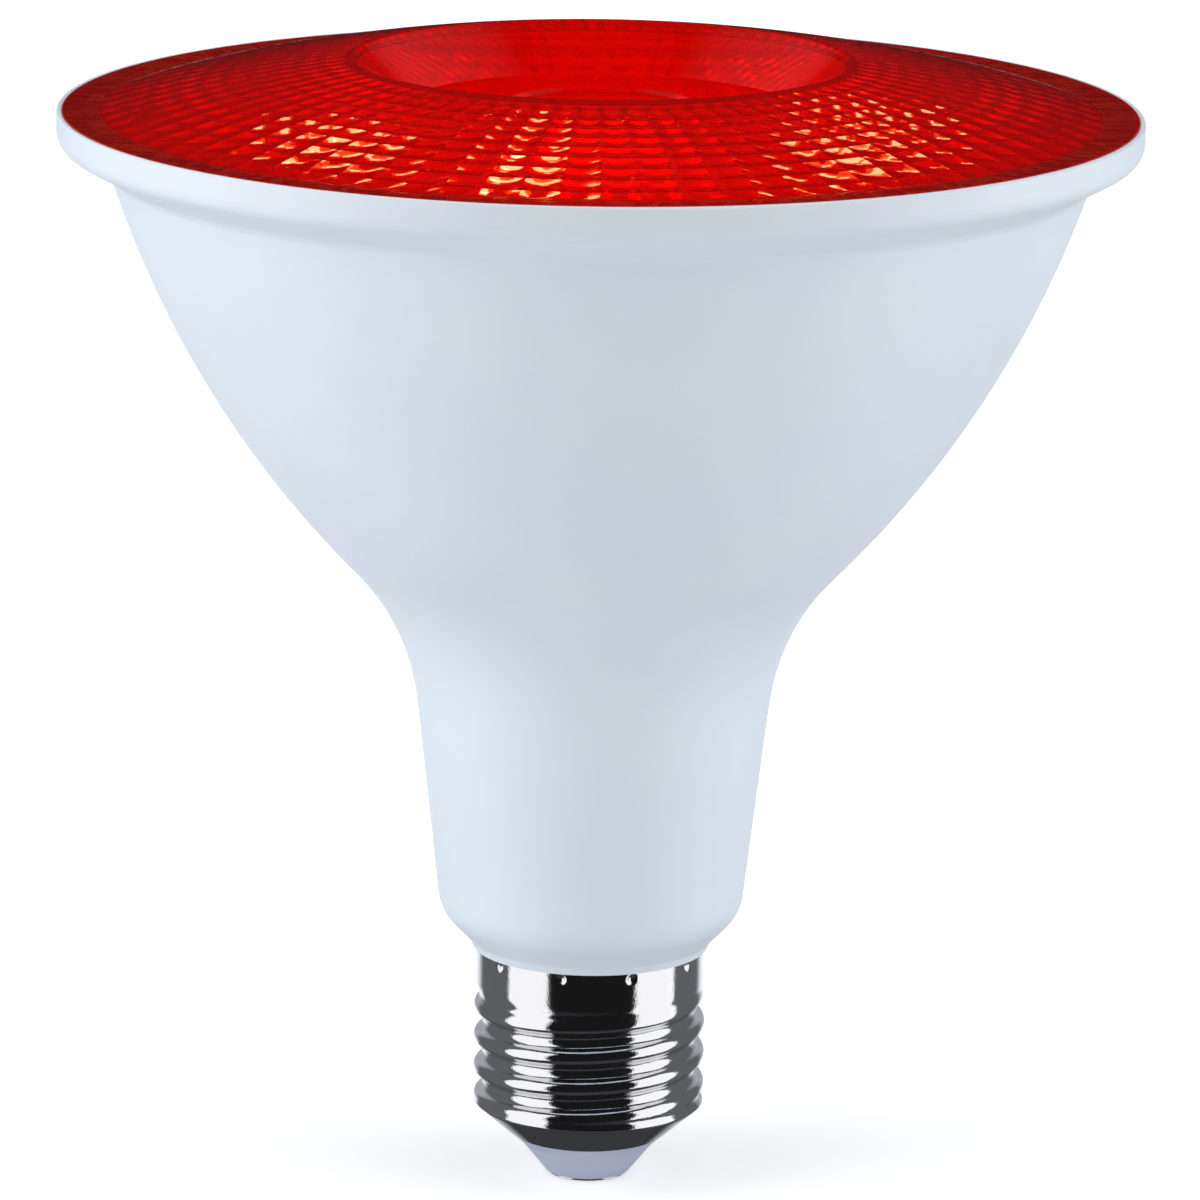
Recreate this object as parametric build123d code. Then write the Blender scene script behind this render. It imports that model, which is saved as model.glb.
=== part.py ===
from build123d import *

import math
import os

# A spotlight bulb: a red moulded lens on a white bell housing, a light source with its driver
# inside, and a medium screw base below. Millimetres, with +Z up the optical axis. The origin is
# the middle of the centre contact's underside, the point that a bulb's length is measured from.

# Fits
SLIP_GAP = 0.1
SEAT_GAP = 0.15

# Screw base, from the contact upwards
CONTACT_INSET = 0.3
CONTACT_THICK = 0.3
CONTACT_ROUND = 0.1
STEM_DIA = 3.0
STEM_PROUD = 1.5
INSULATOR_TIP_DIA = 9.7
INSULATOR_TIP_HEIGHT = 3.5
INSULATOR_SHOULDER_DIA = 15.3
INSULATOR_SHOULDER_HEIGHT = 1.0
INSULATOR_FLANGE_INSET = 0.15
INSULATOR_PLUG_HEIGHT = 2.3
INSULATOR_DISH_DIA = 13.0
INSULATOR_DISH_DEPTH = 1.2
SHELL_MOUTH_DIA = 18.0
SHELL_CONE_HEIGHT = 3.25
SHELL_CONE_STEP = 0.5
SHELL_WALL = 0.45
THREAD_DIA = 26.35
THREAD_DEPTH = 1.1
THREAD_PITCH = 3.629
THREAD_HEIGHT = 14.75
THREAD_TURN = 70.0
COLLAR_STEP = 0.25
COLLAR_HEIGHT = 3.9
STAKE_COUNT = 10
STAKE_RADIUS = 0.65
STAKE_DEPTH = 0.3
STAKE_DROP = 0.65
STAKE_TURN = 21.5
SHELL_SECTORS = 16
SHELL_ROWS_PER_TURN = 4

# Housing
HOUSING_WALL = 2.0
SPIGOT_LENGTH = 13.5
SPIGOT_WALL = 1.6
LIP_PROUD = 0.5
LIP_TAPER = 0.35
LIP_HEIGHT = 0.9
LIP_ROUND = 0.4
NECK_DIA = 34.3
NECK_FLARE_HEIGHT = 3.55
NECK_LEAN = 6.57
NECK_ROUND = 5.0
BLEND_RADIUS = 27.0
BELL_RADIUS = 114.0
BELL_LEAN = 17.7
RIM_DIA = 120.65
RIM_OVERHANG = 5.75
RIM_LIP = 0.6
RIM_TOP = 123.1
RIM_HEIGHT = 3.45
RIM_UNDERSIDE = 3.2
RIM_ROUND = 2.0
RIM_HOLLOW = 1.5
RIM_EDGE_ROUND = 0.25
RAIL_THICK = 1.0
RAIL_REACH = 1.6
RAIL_TOP = 60.0

# Lens
LENS_EDGE = 2.0
LENS_LAND = 4.0
DOME_RADIUS = 206.0
CRATER_DIA = 55.4
CRATER_FLOOR_DIA = 44.0
CRATER_FLOOR_RISE = 0.4
CRATER_LIP_ROUND = 0.5
CRATER_ROWS = 3
FLOOR_RING_DIA = 25.0
FLOOR_RING_WIDTH = 2.4
FLOOR_RING_RISE = 0.4
FACET_SECTORS = 80
FACET_RINGS = 10
FACET_INSET = 0.5
FACET_MARGIN = 0.3
FACET_CLEAR = 0.1
FACET_GROWTH = 0.09
FACET_BULGE = 0.3
SEAL_THICK = 0.4

# Light source
LEDGE_DROP = 1.0
REFLECTOR_WALL = 1.5
REFLECTOR_FLANGE = 1.0
REFLECTOR_FOOT_WIDTH = 2.2
REFLECTOR_FOOT_CLEAR = 4.0
REFLECTOR_BOW = 3.6
CUP_WALL = 1.2
CUP_FLOOR_DEPTH = 36.0
LEAD_HOLE_DIA = 6.4
PAD_THICK = 0.5
LED_BOARD_CLEAR = 3.5
LED_BOARD_THICK = 1.6
LED_SIZE = 3.0
LED_HEIGHT = 0.65
LED_WINDOW_DIA = 2.4
LED_WINDOW_DEPTH = 0.12
LED_CLEAR = 5.0
LED_ROW_PITCH = 8.0
LED_PITCH = 8.8
SCREW_COUNT = 3
SCREW_INSET = 3.0
SCREW_DIA = 2.5
SCREW_HEAD_DIA = 4.4
SCREW_HEAD_HEIGHT = 1.5
SCREW_HEAD_ROUND = 0.5
SCREW_LENGTH = 5.0
SCREW_SLOT = 0.6
SCREW_SLOT_LENGTH = 2.6

# Driver
DRIVER_THICK = 1.6
DRIVER_EDGE_CLEAR = 1.3
DRIVER_HEADROOM = 10.7
TONGUE_WIDTH = 15.0
TONGUE_BOTTOM = 15.0
LEAD_DIA = 1.1
LEAD_BEND = 2.2
LEAD_TAIL = 3.3
LEAD_REACH = 1.1
LEAD_INSET = 3.0
PART_GAP = 2.0
CORE_WIDTH = 16.0
CORE_HEIGHT = 14.0
CORE_DEPTH = 5.0
CORE_LEG = 4.0
CORE_YOKE = 2.4
BOBBIN_WALL = 0.7
BOBBIN_DEPTH = 13.0
WINDING_INSET = 0.4
INPUT_CAN_DIA = 10.0
INPUT_CAN_LENGTH = 16.0
OUTPUT_CAN_DIA = 8.0
OUTPUT_CAN_LENGTH = 14.0
CAN_GROOVE = 0.5
CAN_GROOVE_Z = 2.2
FILM_SIZE = (11.0, 5.0, 8.0)
FILM_ROUND = 0.5
BRIDGE_SIZE = (4.7, 2.5, 4.0)
BRIDGE_LEGS = 2
CHIP_SIZE = (5.0, 1.6, 4.0)
CHIP_LEGS = 4
PACKAGE_LEG = 0.5
PACKAGE_LEG_THICK = 0.25
PACKAGE_CHAMFER = 0.2
CHOKE_DIA = 8.0
CHOKE_CLEAR = 0.6
CHOKE_WAIST = 5.6
CHOKE_FLANGE = 1.2
VARISTOR_DIA = 7.0
VARISTOR_THICK = 3.6
VARISTOR_ROUND = 0.9
FUSE_DIA = 3.2
FUSE_LENGTH = 6.0
FUSE_ROUND = 0.4
FUSE_RISE = 5.0
FUSE_WIRE_DIA = 0.6
FUSE_WIRE_REACH = 1.1

# Heights and radii that follow
thread_radius = THREAD_DIA / 2
root_radius = thread_radius - THREAD_DEPTH
cone_radius = thread_radius - SHELL_CONE_STEP
collar_radius = thread_radius - COLLAR_STEP
lip_radius = collar_radius + LIP_PROUD
mouth_radius = SHELL_MOUTH_DIA / 2
shoulder_z = CONTACT_THICK + INSULATOR_TIP_HEIGHT
mouth_z = shoulder_z + INSULATOR_SHOULDER_HEIGHT + SEAT_GAP
thread_z = mouth_z + SHELL_CONE_HEIGHT
collar_z = thread_z + THREAD_HEIGHT
shell_top = collar_z + COLLAR_HEIGHT
lip_z = shell_top + SEAT_GAP
flare_z = lip_z + LIP_HEIGHT
neck_z = flare_z + NECK_FLARE_HEIGHT
rim_radius = RIM_DIA / 2
pocket_radius = rim_radius - RIM_LIP
lens_radius = pocket_radius - SLIP_GAP
lens_wall = LENS_EDGE - FACET_CLEAR
dome_edge = lens_radius - LENS_LAND
facet_in = CRATER_DIA / 2 + FACET_INSET
facet_out = dome_edge - FACET_MARGIN
seal_z = RIM_TOP - LENS_EDGE - SEAL_THICK
ledge_z = seal_z - LEDGE_DROP
ledge_radius = facet_out + SLIP_GAP
crater_floor = RIM_TOP + CRATER_FLOOR_RISE
cup_floor = RIM_TOP - CUP_FLOOR_DEPTH
led_board_z = cup_floor + PAD_THICK
led_board_top = led_board_z + LED_BOARD_THICK
board_face = DRIVER_THICK / 2
driver_top = cup_floor - CUP_WALL - DRIVER_HEADROOM
lead_radius = LEAD_DIA / 2
contact_radius = INSULATOR_TIP_DIA / 2 - CONTACT_INSET
plug_top = mouth_z + INSULATOR_PLUG_HEIGHT
dish_z = plug_top - INSULATOR_DISH_DEPTH
stem_top = dish_z + STEM_PROUD


def at(radius, height):
    """A point of the section, in the plane through the axis."""
    return Vector(radius, 0, height)


def heading(lean):
    """Direction up the section that leans outwards from the axis by so many degrees."""
    return at(math.sin(math.radians(lean)), math.cos(math.radians(lean)))


def outward(direction):
    """Direction at right angles to one that goes up the section, away from the axis."""
    return at(direction.Z, -direction.X)


def meet(point, direction, other_point, other_direction):
    """Where two lines of the section cross."""
    offset = other_point - point
    across = direction.X * other_direction.Z - direction.Z * other_direction.X
    along = (offset.X * other_direction.Z - offset.Z * other_direction.X) / across
    return point + direction * along


def arc(start, centre, end):
    """Arc about a centre, the short way round."""
    middle = (start - centre).normalized() + (end - centre).normalized()
    return ThreePointArc(start, centre + middle.normalized() * (start - centre).length, end)


def bowed(start, end, bow):
    """Arc that stands off its chord, to the outside of a line that goes up the section."""
    middle = (start + end) * 0.5
    return ThreePointArc(start, middle + outward((end - start).normalized()) * bow, end)


def turned(*edges):
    """Solid turned about the axis from an outline of edges and points in order."""
    outline = []
    last = None
    for item in edges:
        if isinstance(item, Vector):
            if last is not None:
                outline.append(Line(last, item))
            last = item
        else:
            if last is not None and (item @ 0 - last).length > SLIP_GAP / 100:
                outline.append(Line(last, item @ 0))
            outline.append(item)
            last = item @ 1
    start = edges[0] if isinstance(edges[0], Vector) else edges[0] @ 0
    outline.append(Line(last, start))
    return revolve(Face(Wire(outline)), Axis.Z)


def rounded(solid, corner, radius):
    """Rounds the turned edge that passes through one corner of the section."""
    edge = solid.edges().filter_by(GeomType.CIRCLE).sort_by_distance(Vertex(*corner))[0]
    return fillet(edge, radius)


def around(count, turn=0.0):
    """Placements spread evenly about the axis."""
    return [Rot(Z=turn + 360 * step / count) for step in range(count)]


def block(size, centre):
    return Pos(*centre) * Box(*size)


def tube(radius, points, bends):
    """Round lead along straight runs joined by bends."""
    path = FilletPolyline(*points, radius=bends)
    section = Plane(origin=path @ 0, z_dir=path % 0) * Circle(radius)
    return sweep(section, path=path)


# Section of the bell and neck: one straight neck and two arcs, so that a wall's faces are the
# same three curves about the same centres.
neck_line = heading(NECK_LEAN)
neck_foot = at(NECK_DIA / 2, neck_z)
bell_top = at(rim_radius - RIM_OVERHANG, RIM_TOP - RIM_HEIGHT - RIM_UNDERSIDE)
bell_centre = bell_top - outward(heading(BELL_LEAN)) * BELL_RADIUS


def blend_middle():
    """Centre of the hollow arc that touches both the neck's line and the bell's arc."""
    start = neck_foot + outward(neck_line) * BLEND_RADIUS - bell_centre
    half = start.dot(neck_line)
    reach = BELL_RADIUS + BLEND_RADIUS
    along = -half - math.sqrt(half * half - start.dot(start) + reach * reach)
    return start + neck_line * along + bell_centre


blend_centre = blend_middle()


def bell_point(height, depth=0.0):
    """Point of the bell's arc at a height, so deep under the outside."""
    radius = BELL_RADIUS - depth
    rise = height - bell_centre.Z
    return at(bell_centre.X + math.sqrt(radius * radius - rise * rise), height)


def wall_curve(depth):
    """Neck top, blend and the start of the bell, so deep under the outside."""
    radius = BLEND_RADIUS + depth
    neck_end = blend_centre - outward(neck_line) * radius
    bell_start = blend_centre + (bell_centre - blend_centre).normalized() * radius
    return neck_end, bell_start


flare_foot = at(lip_radius + LIP_TAPER, flare_z)
flare_line = (neck_foot - flare_foot).normalized()
inner_flare = flare_foot - outward(flare_line) * HOUSING_WALL
inner_neck = neck_foot - outward(neck_line) * HOUSING_WALL
spigot_radius = root_radius - SHELL_WALL - SLIP_GAP
bore_radius = spigot_radius - SPIGOT_WALL
floor_corner = meet(inner_flare, flare_line, inner_neck, neck_line)
bore_corner = meet(inner_flare, flare_line, at(bore_radius, 0), at(0, 1))


def floor_height(radius):
    """Height of the sloping floor inside the neck's foot."""
    return meet(inner_flare, flare_line, at(radius, 0), at(0, 1)).Z


def neck_inside(height):
    """Radius inside the neck at a height."""
    return meet(inner_neck, neck_line, at(0, height), at(1, 0)).X


driver_half = neck_inside(neck_z) - DRIVER_EDGE_CLEAR


def housing():
    """White moulding: rim with the lens pocket, bell, neck, and the spigot inside the shell."""
    collar_fit = collar_radius - SHELL_WALL - SLIP_GAP
    neck_end, bell_start = wall_curve(0)
    inner_neck_end, inner_bell_start = wall_curve(HOUSING_WALL)
    rim_corner = at(rim_radius, RIM_TOP - RIM_HEIGHT)
    body = turned(
        at(bore_radius, lip_z - SPIGOT_LENGTH),
        at(spigot_radius, lip_z - SPIGOT_LENGTH),
        at(spigot_radius, collar_z + SEAT_GAP),
        at(collar_fit, collar_z + SEAT_GAP),
        at(collar_fit, lip_z),
        at(lip_radius, lip_z),
        flare_foot,
        neck_foot,
        neck_end,
        arc(neck_end, blend_centre, bell_start),
        arc(bell_start, bell_centre, bell_top),
        rim_corner,
        at(rim_radius, RIM_TOP),
        at(pocket_radius, RIM_TOP),
        at(pocket_radius, seal_z),
        at(ledge_radius, seal_z),
        at(ledge_radius, ledge_z),
        arc(bell_point(ledge_z, HOUSING_WALL), bell_centre, inner_bell_start),
        arc(inner_bell_start, blend_centre, inner_neck_end),
        floor_corner,
        bore_corner,
    )
    body = rounded(body, flare_foot, LIP_ROUND)
    body = rounded(body, neck_foot, NECK_ROUND)
    body = rounded(body, bell_top, RIM_HOLLOW)
    body = rounded(body, rim_corner, RIM_ROUND)
    body = rounded(body, at(rim_radius, RIM_TOP), RIM_EDGE_ROUND)
    body = rounded(body, at(pocket_radius, RIM_TOP), RIM_EDGE_ROUND)
    return body + guide_rails()


def guide_rails():
    """Grooved rails inside the neck that hold the driver board by its two edges."""
    groove_end = driver_half + SLIP_GAP
    rail_in = groove_end - RAIL_REACH
    groove = DRIVER_THICK + 2 * SLIP_GAP
    foot = neck_z + HOUSING_WALL
    length = RAIL_TOP - foot
    middle = foot + length / 2
    far = neck_inside(RAIL_TOP) + HOUSING_WALL
    half_wall = HOUSING_WALL / 2
    sleeve = Cone(neck_inside(foot) + half_wall, neck_inside(RAIL_TOP) + half_wall, length)
    width = groove + 2 * RAIL_THICK
    rail = block((far - rail_in, width, length), ((far + rail_in) / 2, 0, middle))
    rail = rail & (Pos(Z=middle) * sleeve)
    rail = rail - block((RAIL_REACH, groove, length), (rail_in + RAIL_REACH / 2, 0, middle))
    return [rail, Rot(Z=180) * rail]


# Lens
dome_centre_z = RIM_TOP - math.sqrt(DOME_RADIUS**2 - dome_edge**2)


def dome(radius):
    """Point of the dome's outside at a radius."""
    return at(radius, dome_centre_z + math.sqrt(DOME_RADIUS**2 - radius**2))


def ring_radius(step):
    """Radius of a facet ring's edge: the rings widen a little towards the rim."""
    share = step / FACET_RINGS
    return facet_in + (facet_out - facet_in) * share * (1 - FACET_GROWTH + FACET_GROWTH * share)


def spoke(section_point, step):
    """A section point swung round to the edge between two facet sectors."""
    angle = math.radians(360 * step / FACET_SECTORS)
    return Vector(
        section_point.X * math.cos(angle), section_point.X * math.sin(angle), section_point.Z
    )


def between(start, end, share):
    return start + (end - start) * share


def pillow(inner, outer, step):
    """Facet with straight edges whose middle swells down into the hollow of the lens."""
    corners = [[spoke(edge, step + side) for side in (0, 1)] for edge in (inner, outer)]
    net = []
    for row in (0, 0.5, 1):
        first = between(corners[0][0], corners[1][0], row)
        last = between(corners[0][1], corners[1][1], row)
        net.append([first, between(first, last, 0.5), last])
    net[1][1] = net[1][1] - Vector(0, 0, 4 * FACET_BULGE)
    return Face.make_bezier_surface(net)


def flat_facet(inner, outer, step):
    corners = [spoke(inner, step), spoke(outer, step), spoke(outer, step + 1), spoke(inner, step + 1)]
    return Face(Wire.make_polygon(corners))


def many_sided(section_point):
    """Flat face with one side for each facet sector."""
    return Face(Wire.make_polygon([spoke(section_point, step) for step in range(FACET_SECTORS)]))


def lens_hollow():
    """Space under the lens: pillow facets under the dome, flat ones under the crater."""
    crater_wall = dome(CRATER_DIA / 2) - at(CRATER_FLOOR_DIA / 2, crater_floor)
    wall_lean = math.atan2(crater_wall.Z, crater_wall.X)
    under_radius = CRATER_FLOOR_DIA / 2 + lens_wall * math.tan(wall_lean / 2)
    under_floor = at(under_radius, crater_floor - lens_wall)
    drop = at(0, lens_wall)
    rings = [dome(ring_radius(step)) - drop for step in range(FACET_RINGS + 1)]
    wall = [between(under_floor, rings[0], row / CRATER_ROWS) for row in range(CRATER_ROWS + 1)]
    mouth = at(rings[-1].X, RIM_TOP - LENS_EDGE - lens_wall)
    faces = [many_sided(under_floor), many_sided(mouth)]
    for step in range(FACET_SECTORS):
        faces += [pillow(inner, outer, step) for inner, outer in zip(rings, rings[1:])]
        faces += [flat_facet(lower, upper, step) for lower, upper in zip(wall, wall[1:])]
        faces.append(flat_facet(rings[-1], mouth, step))
    return Solid(Shell(faces))


def front_lens():
    """Red moulding: smooth outside with the crater, facets inside, flat edge to seat on."""
    floor_radius = CRATER_FLOOR_DIA / 2
    ring_out = FLOOR_RING_DIA / 2
    ring_in = ring_out - FLOOR_RING_WIDTH
    ring_top = crater_floor + FLOOR_RING_RISE
    slope = FLOOR_RING_RISE
    crater_edge = dome(CRATER_DIA / 2)
    middle_radius = (CRATER_DIA / 2 + dome_edge) / 2
    blank = turned(
        at(0, RIM_TOP - LENS_EDGE),
        at(lens_radius, RIM_TOP - LENS_EDGE),
        at(lens_radius, RIM_TOP),
        at(dome_edge, RIM_TOP),
        ThreePointArc(at(dome_edge, RIM_TOP), dome(middle_radius), crater_edge),
        at(floor_radius, crater_floor),
        at(ring_out, crater_floor),
        at(ring_out - slope, ring_top),
        at(ring_in + slope, ring_top),
        at(ring_in, crater_floor),
        at(0, crater_floor),
    )
    blank = rounded(blank, crater_edge, CRATER_LIP_ROUND)
    return blank - lens_hollow()


def lens_seal():
    """Silicone ring between the lens edge and its seat."""
    ring = Circle(lens_radius - SLIP_GAP) - Circle(ledge_radius + SLIP_GAP)
    return Pos(Z=seal_z) * extrude(ring, SEAL_THICK)


# Screw base
flank_lean = 2 * math.atan(2 * THREAD_DEPTH / THREAD_PITCH)
thread_round = THREAD_PITCH / (4 * math.sin(flank_lean))


def thread_rise(turns):
    """Height of the thread over its root after so many turns: equal round valleys and crests."""
    from_valley = THREAD_PITCH * abs(turns - round(turns))
    if from_valley < THREAD_PITCH / 4:
        return thread_round - math.sqrt(thread_round**2 - from_valley**2)
    from_crest = THREAD_PITCH / 2 - from_valley
    return THREAD_DEPTH - thread_round + math.sqrt(thread_round**2 - from_crest**2)


def fade_in(distance):
    """Share of the thread so far from one of its ends: it runs out over half a turn."""
    share = min(distance / (THREAD_PITCH / 2), 1.0)
    return share * share * (3 - 2 * share)


def shell_radius(angle, height):
    """Outside of the rolled shell: cone, right-hand thread that fades at both ends, collar."""
    if height <= thread_z:
        return mouth_radius + (cone_radius - mouth_radius) * (height - mouth_z) / SHELL_CONE_HEIGHT
    if height >= collar_z:
        return collar_radius
    turns = (height - thread_z) / THREAD_PITCH - angle / (2 * math.pi) - THREAD_TURN / 360
    radius = root_radius + thread_rise(turns)
    radius = cone_radius + (radius - cone_radius) * fade_in(height - thread_z)
    return collar_radius + (radius - collar_radius) * fade_in(collar_z - height)


def shell_patch(depth, low, high, step):
    """Smooth patch of the shell between two heights, one sector wide, so deep under the outside."""
    sweep_angle = 2 * math.pi / SHELL_SECTORS
    start = sweep_angle * step
    seam = 1e-9
    inset = (high - low) * seam

    def point(angle_share, height_share):
        angle = start + sweep_angle * angle_share
        height = low + inset + (high - low - 2 * inset) * height_share
        radius = shell_radius(angle, height) - depth
        level = low + (high - low) * height_share
        return Vector(radius * math.cos(angle), radius * math.sin(angle), level)

    return bezier_patch(point)


def bezier_patch(point):
    """Cubic patch that passes through a surface's corners with the surface's own slopes there."""
    tiny = 1e-4

    def slope_across(angle_share, height_share):
        ahead = point(angle_share + tiny, height_share)
        return (ahead - point(angle_share - tiny, height_share)) / (2 * tiny)

    def slope_up(angle_share, height_share):
        inside = tiny if height_share == 0 else -tiny
        near = point(angle_share, height_share + inside) - point(angle_share, height_share)
        far = point(angle_share, height_share + 2 * inside) - point(angle_share, height_share)
        return (near * 4 - far) / (2 * inside)

    def twist(angle_share, height_share):
        ahead = slope_up(angle_share + tiny, height_share)
        return (ahead - slope_up(angle_share - tiny, height_share)) / (2 * tiny)

    net = [[None] * 4 for _ in range(4)]
    for across in (0, 1):
        for up in (0, 1):
            corner = point(across, up)
            turn = slope_across(across, up) * ((1 - 2 * across) / 3)
            rise = slope_up(across, up) * ((1 - 2 * up) / 3)
            both = twist(across, up) * ((1 - 2 * across) * (1 - 2 * up) / 9)
            column = 3 * across
            row = 3 * up
            net[column][row] = corner
            net[abs(column - 1)][row] = corner + turn
            net[column][abs(row - 1)] = corner + rise
            net[abs(column - 1)][abs(row - 1)] = corner + turn + rise + both
    return net


def screw_shell():
    """Pressed shell: mouth cone, rolled thread and collar in one thin wall, staked at the collar."""
    rows = math.ceil(SHELL_ROWS_PER_TURN * THREAD_HEIGHT / THREAD_PITCH)
    levels = [mouth_z] + [thread_z + THREAD_HEIGHT * row / rows for row in range(rows + 1)]
    levels.append(shell_top)
    faces = []
    ends = {mouth_z: [], shell_top: []}
    for depth in (0, SHELL_WALL):
        mouth_edges = []
        top_edges = []
        for step in range(SHELL_SECTORS):
            for low, high in zip(levels, levels[1:]):
                net = shell_patch(depth, low, high, step)
                faces.append(Face.make_bezier_surface(net))
                if low == mouth_z:
                    mouth_edges.append(Edge.make_bezier(*[column[0] for column in net]))
                if high == shell_top:
                    top_edges.append(Edge.make_bezier(*[column[3] for column in net]))
        ends[mouth_z].append(Wire(mouth_edges))
        ends[shell_top].append(Wire(top_edges))
    faces += [Face(outer, [inner]) for outer, inner in ends.values()]
    shell = Solid(Shell(faces))
    stake_centre = Pos(X=collar_radius + STAKE_RADIUS - STAKE_DEPTH, Z=shell_top - STAKE_DROP)
    stake = stake_centre * Sphere(STAKE_RADIUS)
    return shell - [place * stake for place in around(STAKE_COUNT, STAKE_TURN - 90)]


def base_insulator():
    """Insulator that fills the shell's mouth and carries the contact on its tip."""
    plug_line = at(cone_radius - mouth_radius, SHELL_CONE_HEIGHT).normalized()
    plug_foot = at(mouth_radius - SHELL_WALL - SLIP_GAP, mouth_z)
    flange_top = mouth_z - SEAT_GAP / 2
    hole = STEM_DIA / 2 + SLIP_GAP / 2
    flange_rim = mouth_radius - INSULATOR_FLANGE_INSET
    return turned(
        at(hole, CONTACT_THICK),
        at(INSULATOR_TIP_DIA / 2, CONTACT_THICK),
        at(INSULATOR_SHOULDER_DIA / 2, shoulder_z),
        at(flange_rim, flange_top),
        meet(plug_foot, plug_line, at(0, flange_top), at(1, 0)),
        meet(plug_foot, plug_line, at(0, plug_top), at(1, 0)),
        at(INSULATOR_DISH_DIA / 2, plug_top),
        at(INSULATOR_DISH_DIA / 2 - INSULATOR_DISH_DEPTH, dish_z),
        at(hole, dish_z),
    )


def centre_contact():
    """Contact button with the stem that is pressed through the insulator."""
    button = turned(
        at(0, 0),
        at(contact_radius, 0),
        at(contact_radius, CONTACT_THICK),
        at(STEM_DIA / 2, CONTACT_THICK),
        at(STEM_DIA / 2, stem_top),
        at(0, stem_top),
    )
    return rounded(button, at(contact_radius, 0), CONTACT_ROUND)


# Light source: the stack of pad and board lies on the cup's floor, inside the cup's round corner.
board_radius = bell_point(cup_floor, HOUSING_WALL + SLIP_GAP + CUP_WALL).X - LED_BOARD_CLEAR
screw_circle = board_radius - SCREW_INSET
foot_outside = screw_circle - SCREW_HEAD_DIA / 2 - REFLECTOR_FOOT_CLEAR
foot_inside = foot_outside - REFLECTOR_FOOT_WIDTH


def reflector():
    """Metallised bowl that stands on the board and hangs by its flange on the housing's ledge."""
    top = ledge_z + REFLECTOR_FLANGE
    foot = at(foot_inside, led_board_top + SLIP_GAP)
    under_flange = bell_point(ledge_z, HOUSING_WALL + SLIP_GAP + CUP_WALL + SEAT_GAP)
    mouth = at(under_flange.X - REFLECTOR_WALL, top)
    flange_edge = ledge_radius - SLIP_GAP
    return turned(
        bowed(foot, mouth, REFLECTOR_BOW),
        at(flange_edge, top),
        at(flange_edge, ledge_z),
        under_flange,
        bowed(under_flange, at(foot_outside, foot.Z), -REFLECTOR_BOW),
    )


def heat_sink_cup():
    """Pressed aluminium cup against the inside of the bell, with the board's seat as its floor."""
    outside = HOUSING_WALL + SLIP_GAP
    inside = outside + CUP_WALL
    under = cup_floor - CUP_WALL
    top = ledge_z - SLIP_GAP
    hole = LEAD_HOLE_DIA / 2
    cup = turned(
        at(hole, under),
        bell_point(under, outside),
        arc(bell_point(under, outside), bell_centre, bell_point(top, outside)),
        arc(bell_point(top, inside), bell_centre, bell_point(cup_floor, inside)),
        at(hole, cup_floor),
    )
    return cup - screw_holes(under, CUP_WALL)


def screw_holes(height, thick):
    """Holes for the board screws through a layer of the stack."""
    drill = Cylinder(SCREW_DIA / 2 + SLIP_GAP, 2 * thick)
    centre = Pos(screw_circle, 0, height + thick / 2)
    return [place * centre * drill for place in around(SCREW_COUNT)]


def stack_disc(height, thick):
    """Flat disc of the board stack, with the lead hole and the screw holes."""
    ring = Circle(board_radius) - Circle(LEAD_HOLE_DIA / 2)
    return Pos(Z=height) * extrude(ring, thick) - screw_holes(height, thick)


def led_emitters():
    """Surface-mounted light sources in rings, each with a shallow window."""
    middle = led_board_top + LED_HEIGHT / 2
    top = led_board_top + LED_HEIGHT
    emitter = block((LED_SIZE, LED_SIZE, LED_HEIGHT), (0, 0, middle))
    emitter = emitter - Pos(Z=top) * Cylinder(LED_WINDOW_DIA / 2, 2 * LED_WINDOW_DEPTH)
    emitters = []
    circle = foot_inside - LED_CLEAR
    while circle > LEAD_HOLE_DIA / 2 + LED_SIZE:
        count = int(2 * math.pi * circle / LED_PITCH)
        emitters += [place * Pos(X=circle) * emitter for place in around(count)]
        circle -= LED_ROW_PITCH
    return Compound(children=emitters)


def board_screws():
    """Pan-head screws that clamp the board and the pad to the heat sink."""
    head_top = led_board_top + SCREW_HEAD_HEIGHT
    screw = turned(
        at(0, led_board_top - SCREW_LENGTH),
        at(SCREW_DIA / 2, led_board_top - SCREW_LENGTH),
        at(SCREW_DIA / 2, led_board_top),
        at(SCREW_HEAD_DIA / 2, led_board_top),
        at(SCREW_HEAD_DIA / 2, head_top),
        at(0, head_top),
    )
    screw = rounded(screw, at(SCREW_HEAD_DIA / 2, head_top), SCREW_HEAD_ROUND)
    arm = block((SCREW_SLOT_LENGTH, SCREW_SLOT, SCREW_HEAD_HEIGHT), (0, 0, head_top))
    screw = Pos(X=screw_circle) * (screw - [arm, Rot(Z=90) * arm])
    return Compound(children=[place * screw for place in around(SCREW_COUNT)])


# Driver: the board stands in the plane of X and Z, with parts on its front (-Y) and back (+Y),
# stacked from the tongue upwards on each side.
fuse_z = TONGUE_BOTTOM + FUSE_RISE
varistor_z = fuse_z + FUSE_LENGTH / 2 + FUSE_WIRE_REACH + FUSE_WIRE_DIA / 2 + PART_GAP + VARISTOR_DIA / 2
chip_z = varistor_z + VARISTOR_DIA / 2 + PART_GAP + CHIP_SIZE[2] / 2
output_can_z = chip_z + CHIP_SIZE[2] / 2 + PART_GAP + OUTPUT_CAN_LENGTH / 2
transformer_z = output_can_z + OUTPUT_CAN_LENGTH / 2 + PART_GAP + CORE_HEIGHT / 2
choke_z = TONGUE_BOTTOM + LEAD_TAIL + PART_GAP + CHOKE_DIA / 2
bridge_z = choke_z + CHOKE_DIA / 2 + PART_GAP + BRIDGE_SIZE[2] / 2
input_can_z = bridge_z + BRIDGE_SIZE[2] / 2 + PART_GAP + INPUT_CAN_LENGTH / 2
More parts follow.
